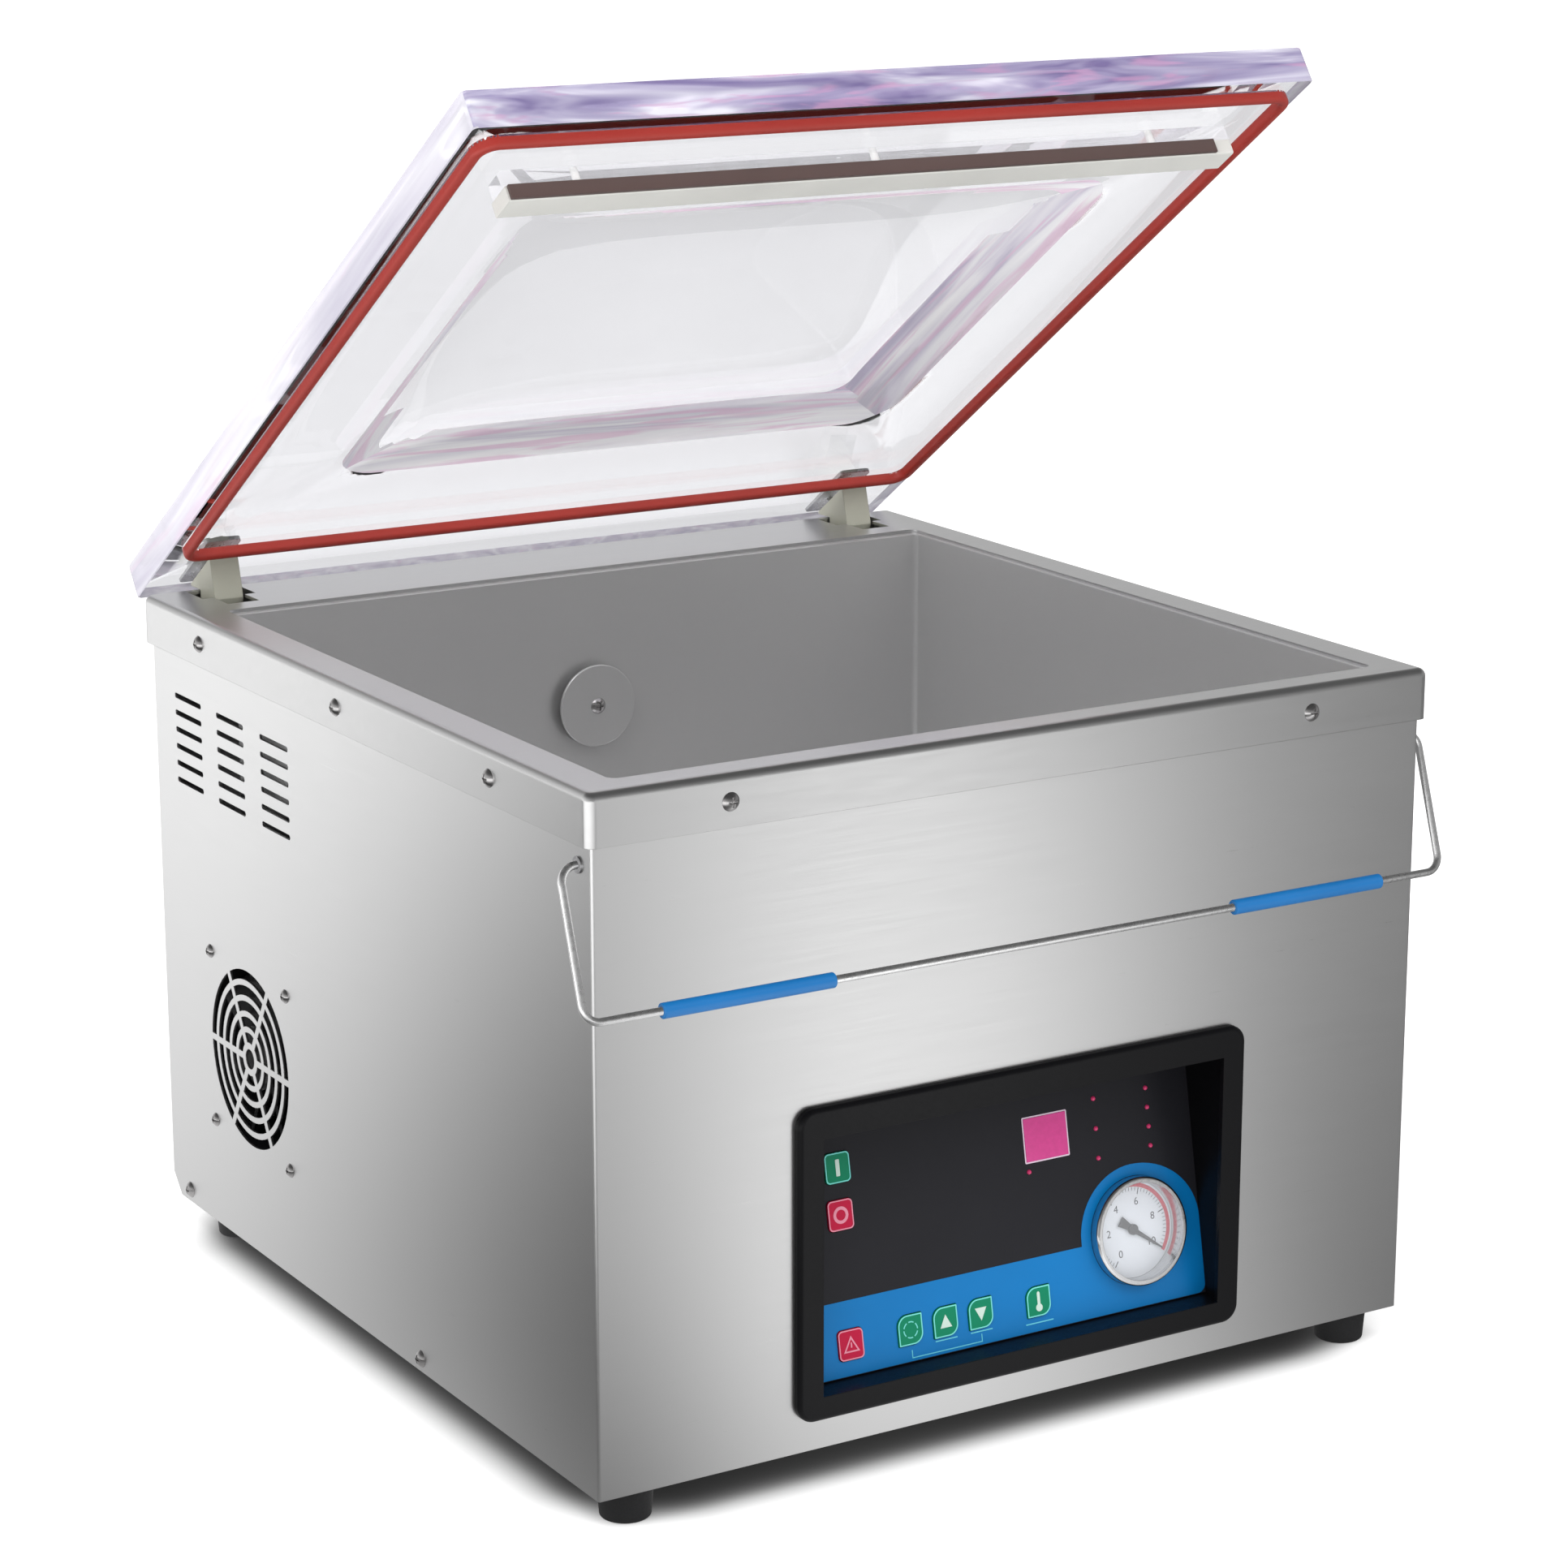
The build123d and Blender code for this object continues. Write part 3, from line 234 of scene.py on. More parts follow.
def make_floor():
    """Plain pale floor with a painted shadow under the machine. Only reflections see its lit strips."""
    bpy.ops.mesh.primitive_plane_add(size=FLOOR_SIZE, location=(0, 0, 0))
    floor = bpy.context.object
    floor.name = "floor"
    shader = Shader("studio_floor", (0.92, 0.92, 0.92), roughness=0.9)
    tree = shader.tree
    near = footprint_distance(shader, SHADOW_INSET)
    # Painted shadow: the floor's colour and its glow darken near the housing's outline.
    tone = slope_ramp(tree, near, near, 1.0, 0.0, SHADOW_SPAN, PAINTED_CONTACT_SHADOW)
    shader.color_from(tone)
    shader.link(tone, shader.surface.inputs["Emission Color"])
    shader.set("Emission Strength", FLOOR_GLOW)
    split = shader.node("SeparateXYZ")
    shader.link(shader.coords, split.inputs[0])
    x, y = split.outputs["X"], split.outputs["Y"]
    front = blend_node(tree, slope_ramp(tree, y, y, -1.0, 0.0, FAR_SPAN, FAR_IN_FRONT),
                       slope_ramp(tree, x, y, 1.0, MIRROR_ACROSS, FRONT_SPAN, FRONT_STRIP),
                       slope_ramp(tree, x, y, 1.0, MIRROR_ACROSS, FRONT_SPAN, FRONT_STRIP_FAR))
    left = blend_node(tree, slope_ramp(tree, x, x, -1.0, 0.0, FAR_SPAN, FAR_TO_THE_LEFT),
                      slope_ramp(tree, x, y, 1 / MIRROR_ACROSS, 1.0, LEFT_SPAN, LEFT_STRIP),
                      slope_ramp(tree, x, y, 1 / MIRROR_ACROSS, 1.0, LEFT_SPAN, LEFT_STRIP_FAR))
    side = slope_ramp(tree, x, y, -1 / MIRROR_ACROSS, 1.0, SIDE_SPAN, SIDE_SHARE)
    glow = shader.node("Emission")
    shader.link(blend_node(tree, side, front, left), glow.inputs["Color"])
    glow.inputs["Strength"].default_value = STRIP_STRENGTH
    choose = shader.node("MixShader")
    shader.link(mirror_rays(tree), choose.inputs["Fac"])
    shader.link(shader.surface.outputs[0], choose.inputs[1])
    shader.link(glow.outputs[0], choose.inputs[2])
    shader.link(choose.outputs[0], tree.nodes["Material Output"].inputs["Surface"])
    floor.data.materials.append(shader.material)


def make_world():
    """White studio. Reflections see it dark overhead, and darker towards the front right."""
    world = bpy.data.worlds.new("studio")
    bpy.context.scene.world = world
    world.use_nodes = True
    tree = world.node_tree
    background = tree.nodes["Background"]
    background.inputs["Strength"].default_value = 1.0
    coords = tree.nodes.new("ShaderNodeTexCoord")
    split = tree.nodes.new("ShaderNodeSeparateXYZ")
    tree.links.new(coords.outputs["Generated"], split.inputs[0])
    x, y, z = (split.outputs[axis] for axis in "XYZ")
    around = slope_ramp(tree, x, y, *REAR_LEFT, AROUND_SPAN, AROUND)
    overhead = slope_ramp(tree, z, z, 1.0, 0.0, OVERHEAD_SPAN, OVERHEAD)
    mirrored = blend_node(tree, overhead, around, OVERHEAD_GREY)
    shade = blend_node(tree, mirror_rays(tree), 1.0, mirrored)
    tree.links.new(shade, background.inputs["Color"])


# ---- materials ----------------------------------------------------------------------------------------
class Shader:
    """A material with a Principled shader and short ways to add textures in the piece's own coordinates."""

    def __init__(self, name, color, roughness, metallic=0.0, **sockets):
        self.material = bpy.data.materials.new(name)
        self.material.use_nodes = True
        self.tree = self.material.node_tree
        self.surface = self.tree.nodes["Principled BSDF"]
        self.set("Base Color", (*color, 1))
        self.set("Roughness", roughness)
        self.set("Metallic", metallic)
        for socket, value in sockets.items():
            self.set(socket.replace("_", " "), value)
        self.coords = self.node("TexCoord").outputs["Object"]

    def set(self, socket, value):
        self.surface.inputs[socket].default_value = value

    def node(self, kind, **settings):
        made = self.tree.nodes.new("ShaderNode" + kind)
        for setting, value in settings.items():
            setattr(made, setting, value)
        return made

    def link(self, output, target):
        self.tree.links.new(output, target)

    def stretched(self, stretch):
        mapping = self.node("Mapping")
        mapping.inputs["Scale"].default_value = stretch
        self.link(self.coords, mapping.inputs["Vector"])
        return mapping.outputs["Vector"]

    def noise(self, scale, detail=4.0, stretch=(1, 1, 1), distortion=0.0, rough=0.5):
        made = self.node("TexNoise")
        made.inputs["Scale"].default_value = scale
        made.inputs["Detail"].default_value = detail
        made.inputs["Distortion"].default_value = distortion
        made.inputs["Roughness"].default_value = rough
        self.link(self.stretched(stretch), made.inputs["Vector"])
        return made.outputs["Fac"]

    def ramp(self, value, *stops):
        """A colour ramp; a stop is a position and a colour or a grey value."""
        made = self.node("ValToRGB")
        elements = made.color_ramp.elements
        while len(elements) < len(stops):
            elements.new(0.5)
        for element, (position, color) in zip(elements, stops):
            element.position = position
            element.color = (*color, 1) if isinstance(color, tuple) else (color, color, color, 1)
        self.link(value, made.inputs["Fac"])
        return made.outputs["Color"]

    def mix(self, factor, a, b):
        """Blend two colours; the factor and the colours are sockets or values."""
        made = self.node("Mix", data_type="RGBA")
        for socket, value in (("Factor", factor), ("A", a), ("B", b)):
            if isinstance(value, tuple):
                made.inputs[socket].default_value = (*value, 1)
            elif isinstance(value, float):
                made.inputs[socket].default_value = value
            else:
                self.link(value, made.inputs[socket])
        return made.outputs["Result"]

    def color_from(self, output):
        self.link(output, self.surface.inputs["Base Color"])

    def roughness_from(self, output):
        self.link(output, self.surface.inputs["Roughness"])

    def bump(self, height, strength, distance=0.001, edge=None):
        """Bump from a height; edge rounds the shading of sharp edges by that radius."""
        made = self.node("Bump")
        made.inputs["Strength"].default_value = strength
        made.inputs["Distance"].default_value = distance
        self.link(height, made.inputs["Height"])
        if edge:
            bevel = self.node("Bevel", samples=3)
            bevel.inputs["Radius"].default_value = edge
            self.link(bevel.outputs["Normal"], made.inputs["Normal"])
        self.link(made.outputs["Normal"], self.surface.inputs["Normal"])


SHEET_EDGE = 0.0006           # radius that a sheet's edges catch the light with
STREAK_ROUGHNESS = 0.03
STREAK_TONE = 0.012


def steel(name, color, roughness, grain=(1, 1, 60), metallic=1.0):
    """Brushed sheet: fine streaks in roughness, tone and bump, along the axes where grain is small."""
    shader = Shader(name, color, roughness, metallic)
    streaks = shader.noise(20.0, detail=6, stretch=grain, rough=0.7)
    clouds = shader.noise(5.0, detail=3)
    light = tuple(min(1.0, channel + STREAK_TONE) for channel in color)
    dark = tuple(channel - STREAK_TONE for channel in color)
    tone = shader.mix(streaks, dark, light)
    cloudy = shader.ramp(clouds, (0.3, tuple(channel * 0.965 for channel in light)), (0.7, light))
    shader.color_from(shader.mix(0.35, tone, cloudy))
    shader.roughness_from(shader.ramp(streaks, (0.25, roughness - STREAK_ROUGHNESS),
                                      (0.75, roughness + STREAK_ROUGHNESS)))
    shader.bump(streaks, 0.02, 0.0003, SHEET_EDGE)
    return shader.material


def bright_metal(name, color, roughness=0.18, edge=0.0003):
    """Turned or drawn bright metal with faint handling marks."""
    shader = Shader(name, color, roughness, metallic=1.0)
    marks = shader.noise(400.0, detail=3, distortion=0.6)
    shader.roughness_from(shader.ramp(marks, (0.3, roughness * 0.7), (0.8, roughness * 1.5)))
    shader.color_from(shader.ramp(marks, (0.25, tuple(channel * 0.92 for channel in color)), (0.6, color)))
    shader.bump(marks, 0.03, 0.0002, edge)
    return shader.material


def plastic(name, color, roughness, grain=900.0, depth=0.08, variation=0.06, edge=0.0005, **sockets):
    """Moulded or printed plastic: fine texture, slight unevenness of tone and gloss."""
    shader = Shader(name, color, roughness, **sockets)
    fine = shader.noise(grain, detail=3)
    clouds = shader.noise(14.0, detail=4)
    low = tuple(channel * (1 - variation) for channel in color)
    high = tuple(min(1.0, channel * (1 + variation)) for channel in color)
    shader.color_from(shader.ramp(clouds, (0.3, low), (0.7, high)))
    shader.roughness_from(shader.ramp(fine, (0.3, roughness - 0.05), (0.7, min(1.0, roughness + 0.06))))
    shader.bump(fine, depth, 0.0003, edge)
    return shader.material


def cast_paint(name, color):
    """Paint over a casting: orange-peel bump and worn, duller patches."""
    roughness = 0.45
    shader = Shader(name, color, roughness, Coat_Weight=0.2)
    peel = shader.noise(260.0, detail=3)
    wear = shader.noise(22.0, detail=6, distortion=0.4)
    worn = tuple(channel * 0.8 + 0.03 for channel in color)
    shader.color_from(shader.ramp(wear, (0.4, worn), (0.62, color)))
    shader.roughness_from(shader.ramp(wear, (0.4, roughness + 0.15), (0.6, roughness)))
    shader.bump(peel, 0.25, 0.0006, 0.0008)
    return shader.material


def clear_acrylic(name):
    """Polished clear acrylic with a faint haze."""
    tint, rough = (0.80, 0.80, 0.825), 0.015
    shader = Shader(name, tint, rough, Transmission_Weight=1.0, IOR=1.49)
    haze = shader.noise(30.0, detail=4)
    shader.roughness_from(shader.ramp(haze, (0.35, rough * 0.4), (0.7, rough * 2.5)))
    low = tuple(channel * 0.985 for channel in tint)
    shader.color_from(shader.ramp(haze, (0.3, low), (0.7, tint)))
    return shader.material


def thin_pane(name, color=(0.93, 0.95, 0.98), alpha=0.10):
    """Clear piece that is nearly all see-through, so that what is behind it stays bright."""
    shader = Shader(name, color, 0.04, Alpha=alpha)
    haze = shader.noise(60.0, detail=2)
    shader.roughness_from(shader.ramp(haze, (0.3, 0.03), (0.7, 0.07)))
    return shader.material


def acrylic_painted_light(name, tones, rose, stretch, through=0.12, pink=0.60, glow=0.0):
    """Acrylic with painted light: streaks of four tones, from the darkest, and some rosy ones, painted in for
    the reflections and light that clear acrylic gathers in its edges and walls.

    The streaks are long along the closed lid's axes where stretch is small. A lower pink gives more rosy
    ones, and glow is painted light, an emission for the light that the acrylic brings from elsewhere in the lid.
    """
    shader = Shader(name, tones[2], 0.08, Transmission_Weight=through, IOR=1.49)
    mapping = shader.node("Mapping", vector_type="TEXTURE")
    mapping.inputs["Rotation"].default_value = (-LID_OPEN, 0, 0)
    mapping.inputs["Scale"].default_value = [1 / share for share in stretch]
    shader.link(shader.coords, mapping.inputs["Vector"])

    def flow(scale, distortion):
        made = shader.node("TexNoise")
        made.inputs["Scale"].default_value = scale
        made.inputs["Detail"].default_value = 3.0
        made.inputs["Distortion"].default_value = distortion
        shader.link(mapping.outputs["Vector"], made.inputs["Vector"])
        return made.outputs["Fac"]

    streaks = shader.ramp(flow(1.0, 0.9), *zip((0.33, 0.43, 0.53, 0.66), tones))
    rosy = shader.ramp(flow(1.9, 0.7), (pink, 0.0), (pink + 0.10, 0.6))
    tone = shader.mix(rosy, streaks, rose)
    shader.color_from(tone)
    # Painted light: the streaks' colour also glows, though the acrylic is no lamp.
    if glow:
        shader.link(tone, shader.surface.inputs["Emission Color"])
        shader.set("Emission Strength", glow)
    return shader.material


def glow_print(name, color, strength=0.15):
    """Translucent tinted window or lamp that is faintly lit from behind."""
    shader = Shader(name, color, 0.22, Coat_Weight=0.4, Emission_Strength=strength)
    shader.set("Emission Color", (*color, 1))
    cells = shader.noise(420.0, detail=2)
    shader.color_from(shader.ramp(cells, (0.3, tuple(channel * 0.9 for channel in color)), (0.7, color)))
    return shader.material


SLOT_LOOKS = {
    "stainless_sheet": lambda name: steel(name, (0.64, 0.64, 0.64), 0.30),
    # Painted light: the chamber's steel is lighter and less metallic than the panels', to brighten the dim tub.
    "chamber_steel": lambda name: steel(name, (0.75, 0.75, 0.75), 0.34, grain=(1, 1, 30), metallic=0.86),
    "screw_steel": lambda name: bright_metal(name, (0.46, 0.45, 0.45), 0.2),
    "plain_steel": lambda name: bright_metal(name, (0.50, 0.50, 0.51), 0.32),
    "foot_rubber": lambda name: plastic(name, (0.010, 0.010, 0.011), 0.62, depth=0.2, edge=0.001),
    "acrylic": clear_acrylic,
    "gasket_silicone": lambda name: plastic(name, (0.30, 0.022, 0.014), 0.45, grain=500, depth=0.05),
    "bar_silicone": lambda name: plastic(name, (0.60, 0.60, 0.57), 0.5, depth=0.05),
    "bar_strip": lambda name: plastic(name, (0.085, 0.055, 0.050), 0.35, depth=0.05),
    "hinge_plastic": lambda name: plastic(name, (0.40, 0.40, 0.33), 0.42, depth=0.05, edge=0.001),
    "wire_steel": lambda name: bright_metal(name, (0.90, 0.90, 0.90), 0.30, edge=0),
    "sleeve_blue": lambda name: plastic(name, (0.001, 0.128, 0.37), 0.36, depth=0.03),
    "bezel_black": lambda name: plastic(name, (0.0030, 0.0030, 0.0038), 0.34, depth=0.05,
                                        Specular_IOR_Level=0.18),
    "panel_print": lambda name: plastic(name, (0.014, 0.014, 0.0175), 0.34, depth=0.02, edge=0,
                                        Specular_IOR_Level=0.18),
    "key_green": lambda name: plastic(name, (0.0, 0.190, 0.095), 0.35, depth=0.03, Specular_IOR_Level=0.2),
    "key_red": lambda name: plastic(name, (0.43, 0.004, 0.040), 0.35, depth=0.03, Specular_IOR_Level=0.2),
    "display_pink": lambda name: glow_print(name, (0.50, 0.030, 0.20)),
    "lamp_red": lambda name: glow_print(name, (0.50, 0.03, 0.12), 0.15),
    "gauge_chrome": lambda name: bright_metal(name, (0.72, 0.72, 0.73), 0.16),
    "dial_white": lambda name: plastic(name, (0.66, 0.69, 0.74), 0.5, depth=0.01, variation=0.02, edge=0),
    "needle_black": lambda name: plastic(name, (0.012, 0.012, 0.014), 0.4, edge=0),
    "gauge_glass": thin_pane,
    "board_green": lambda name: plastic(name, (0.01, 0.09, 0.03), 0.45, grain=300, variation=0.2),
    "fan_plastic": lambda name: plastic(name, (0.008, 0.008, 0.009), 0.45),
    "aluminium": lambda name: steel(name, (0.62, 0.62, 0.63), 0.34, grain=(1, 40, 40)),
    "tape_brown": lambda name: plastic(name, (0.32, 0.19, 0.085), 0.5, grain=1400, depth=0.3, variation=0.12),
    "strip_metal": lambda name: bright_metal(name, (0.46, 0.43, 0.38), 0.3),
    "pump_paint": lambda name: cast_paint(name, (0.045, 0.065, 0.10)),
    "motor_paint": lambda name: cast_paint(name, (0.09, 0.095, 0.10)),
    "hose_rubber": lambda name: plastic(name, (0.014, 0.014, 0.015), 0.6, grain=350, depth=0.35),
    "valve_brass": lambda name: bright_metal(name, (0.58, 0.43, 0.17), 0.28),
    "core_steel": lambda name: steel(name, (0.11, 0.11, 0.115), 0.5, grain=(1, 60, 1)),
    "inlet_black": lambda name: plastic(name, (0.010, 0.010, 0.011), 0.4),
    "rocker_red": lambda name: plastic(name, (0.45, 0.012, 0.012), 0.3, depth=0.02),
}


def paint_nodes():
    """Give every CAD node the look of its material slot."""
    made = {}
    for part in frame["record"]["subparts"]:
        slot = part["material_slot"]
        if slot not in made:
            made[slot] = SLOT_LOOKS[slot](slot)
        mesh = nodes[part["node"]].data
        mesh.materials.clear()
        mesh.materials.append(made[slot])
    # Painted shade: the deck is the panels' steel a shade darker, for a darker rim; its grain runs its own way.
    nodes["top_deck"].data.materials[0] = steel("deck_steel", (0.60, 0.60, 0.60), 0.30, grain=(1, 12, 12))
    screws = nodes["lid_screws"].data
    screws.materials.append(plastic("nylon_natural", (0.70, 0.70, 0.66), 0.4, depth=0.03))
    for polygon in screws.polygons:
        closed = TO_OPEN.inverted() @ polygon.center
        polygon.material_index = 1 if closed.y < HOUSING.y else 0
    nodes["silicone_bar_holder"].data.materials[0] = thin_pane("holder_acrylic", (0.80, 0.80, 0.84), 0.22)
    # The satin panels show no clear image of the thin bail.
    for name in ("bail_wire", "left_bail_sleeve", "right_bail_sleeve"):
        nodes[name].visible_glossy = False
    return made


# Faces that meet at less than this many degrees are shaded as one smooth surface.
SMOOTH, LID_SMOOTH, WIRE_SMOOTH = 30, 28, 60


def smooth_by_angle(obj, degrees=SMOOTH):
    """Smooth shading that keeps the sharp edges."""
    mesh = obj.data
    mesh.shade_smooth()
    mesh.set_sharp_from_angle(angle=math.radians(degrees))


# ---- mesh helpers -------------------------------------------------------------------------------------
def new_object(name, vertices, faces, materials, matrix=None):
    mesh = bpy.data.meshes.new(name)
    mesh.from_pydata([tuple(vertex) for vertex in vertices], [], faces)
    for material in materials:
        mesh.materials.append(material)
    obj = bpy.data.objects.new(name, mesh)
    bpy.context.scene.collection.objects.link(obj)
    if matrix is not None:
        mesh.transform(matrix)
    return obj


def face_outwards(obj):
    shell = bmesh.new()
    shell.from_mesh(obj.data)
    bmesh.ops.recalc_face_normals(shell, faces=shell.faces)
    shell.to_mesh(obj.data)
    shell.free()


QUARTERS = ((1, 1), (-1, 1), (-1, -1), (1, -1))    # the signs of a rectangle's corners, anticlockwise
CORNER_STEPS = 8


def arc(center, radius, start, end, steps=24):
    """Points on a circle from one angle to another, in degrees."""
    points = []
    for step in range(steps + 1):
        angle = math.radians(start + (end - start) * step / steps)
        points.append((center[0] + radius * math.cos(angle), center[1] + radius * math.sin(angle)))
    return points


def rounded(center, size, radii):
    """A rectangle's outline; radii are for the corners right top, left top, left bottom and right bottom."""
    half_x, half_y = size[0] / 2, size[1] / 2
    points = []
    for quarter, ((sign_x, sign_y), radius) in enumerate(zip(QUARTERS, radii)):
        corner = (center[0] + sign_x * (half_x - radius), center[1] + sign_y * (half_y - radius))
        if radius <= 0:
            points.append(corner)
        else:
            points += arc(corner, radius, 90 * quarter, 90 * quarter + 90, CORNER_STEPS)
    return points


def print_piece(name, shapes, matrix, material, body, low=0.0, thick=0.12):
    """Flat printed shapes as one thin solid. Each shape is an outline and its holes, in millimetres."""
    vertices, faces = [], []
    for shape in shapes:
        flat = [point for loop in shape for point in loop]
        count = len(flat)
        first = len(vertices)
        for height in (low, low + thick):
            vertices += [Vector((x, y, height)) for x, y in flat]
        triangles = tessellate_polygon([[Vector((x, y, 0)) for x, y in loop] for loop in shape])
        for a, b, c in triangles:
            faces.append((first + a, first + b, first + c))
            faces.append((first + count + c, first + count + b, first + count + a))
        start = first
        for loop in shape:
            size = len(loop)
            for index in range(size):
                here, after = start + index, start + (index + 1) % size
                faces.append((here, after, after + count, here + count))
            start += size
    obj = new_object(name, vertices, faces, [material], matrix @ Matrix.Scale(MM, 4))
    face_outwards(obj)
    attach(obj, body)


def text_piece(name, labels, matrix, material, body, size, low):
    """Flat numbers as one mesh; a label is its text, x and y in millimetres."""
    thick = 0.08
    meshes = []
    for text, x, y in labels:
        curve = bpy.data.curves.new(name + "_curve", "FONT")
        curve.body = text
        curve.size = size
        curve.align_x = "CENTER"
        curve.align_y = "CENTER"
        curve.extrude = thick / 2
        curve.resolution_u = 3
        holder = bpy.data.objects.new(name + "_curve", curve)
        mesh = bpy.data.meshes.new_from_object(holder)
        mesh.transform(Matrix.Translation((x, y, low + thick / 2)))
        meshes.append(mesh)
        bpy.data.objects.remove(holder)
    shell = bmesh.new()
    for mesh in meshes:
        shell.from_mesh(mesh)
    bmesh.ops.remove_doubles(shell, verts=shell.verts, dist=0.0005)
    joined = bpy.data.meshes.new(name)
    shell.to_mesh(joined)
    shell.free()
    joined.materials.clear()
    joined.materials.append(material)
    joined.transform(matrix @ Matrix.Scale(MM, 4))
    obj = bpy.data.objects.new(name, joined)
    bpy.context.scene.collection.objects.link(obj)
    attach(obj, body)


# ---- lid ----------------------------------------------------------------------------------------------
LID_CORNER = 3.0
LID_EDGE = 1.0                # chamfer round the top
LID_LOWER_EDGE = 0.6
GASKET_CORNER = 10.0
GASKET_WIDTH = 5.6
GASKET_PLAY = 0.02
GROOVE_DEPTH = 3.0
POCKET_HALF = 188.0           # half width of the dished pocket
POCKET_FROM_FRONT = 99.2      # from the lid's front edge to the pocket
POCKET_LENGTH = 302.0
POCKET_DEPTH = 9.5
POCKET_CORNER = 26.0
POCKET_LIP = 1.03             # the flat loop just outside the pocket
POCKET_SHARES = (1.0, 0.994, 0.985, 0.973, 0.958, 0.94, 0.92, 0.895, 0.86, 0.82, 0.76, 0.68, 0.55, 0.40, 0.22)
RIM_SHARE = 0.91              # loops outside this share are the pocket's rim
TOP_SHARES = (0.25, 0.55, 0.85)
# Painted light: steep pocket walls get streaks that stand in for the light clear acrylic gathers there.
GENTLE_WALL = math.radians(4.5)  # the pocket's rear and right walls gather light from this slope on,
GENTLE_RIM = math.radians(0.4)   # or, on its rim, from this one,
STEEP_WALL = math.radians(13)    # and the others from this one
FACES_FRONT = -0.7            # the front edge's normals point less than this along y
SIDE_STEPS = 18
# Materials of the lid by index. The last marks the pocket's rim until its look is known.
CLEAR, FRONT_EDGE, SIDE_EDGE, REAR_WALL, SIDE_WALL, POCKET_RIM = range(6)


def ring_points(half_x, y_front, y_rear, radius, height):
    """A rounded rectangle as a loop with a fixed number of points, in millimetres."""
    middle, half_y = (y_front + y_rear) / 2, (y_rear - y_front) / 2
    turns = []
    for quarter, (sign_x, sign_y) in enumerate(QUARTERS):
        corner = (sign_x * (half_x - radius), middle + sign_y * (half_y - radius))
        turns.append(arc(corner, radius, 90 * quarter, 90 * quarter + 90, CORNER_STEPS))
    points = []
    for turn, follow in zip(turns, turns[1:] + turns[:1]):
        points += turn
        (x, y), (next_x, next_y) = turn[-1], follow[0]
        for step in range(1, SIDE_STEPS):
            share = step / SIDE_STEPS
            points.append((x + (next_x - x) * share, y + (next_y - y) * share))
    return [Vector((x, y, height)) for x, y in points]


def pillow(u, v):
    """Share of the pocket's depth: steep walls in the middle of each side, none at the corners."""
    return (max(0.0, 1 - abs(u) ** 5) * max(0.0, 1 - abs(v) ** 5)) ** 0.75


def pocket_ring(share, middle, bottom):
    """A loop round the pocket's middle, raised into the lid by the pillow's shape."""
    half_y = POCKET_LENGTH / 2
    ring = ring_points(POCKET_HALF * share, middle - half_y * share, middle + half_y * share,
                       POCKET_CORNER * share ** 2, 0)
    for point in ring:
        u = point.x / POCKET_HALF
        v = (point.y - middle) / half_y
        point.z = bottom + POCKET_DEPTH * pillow(u, v)
    return ring


def pocket_look(normal, gentle):
    """Material index of a part of the pocket, by its normal on the closed lid: steep walls look streaked
    with painted light, the rear and right walls from a gentler slope.
    """
    to_rear, to_right = max(0.0, -normal.y), max(0.0, -normal.x)
    if math.hypot(to_rear, to_right) > math.sin(gentle) or -normal.z < math.cos(STEEP_WALL):
        return REAR_WALL if abs(normal.y) > abs(normal.x) else SIDE_WALL
    return CLEAR


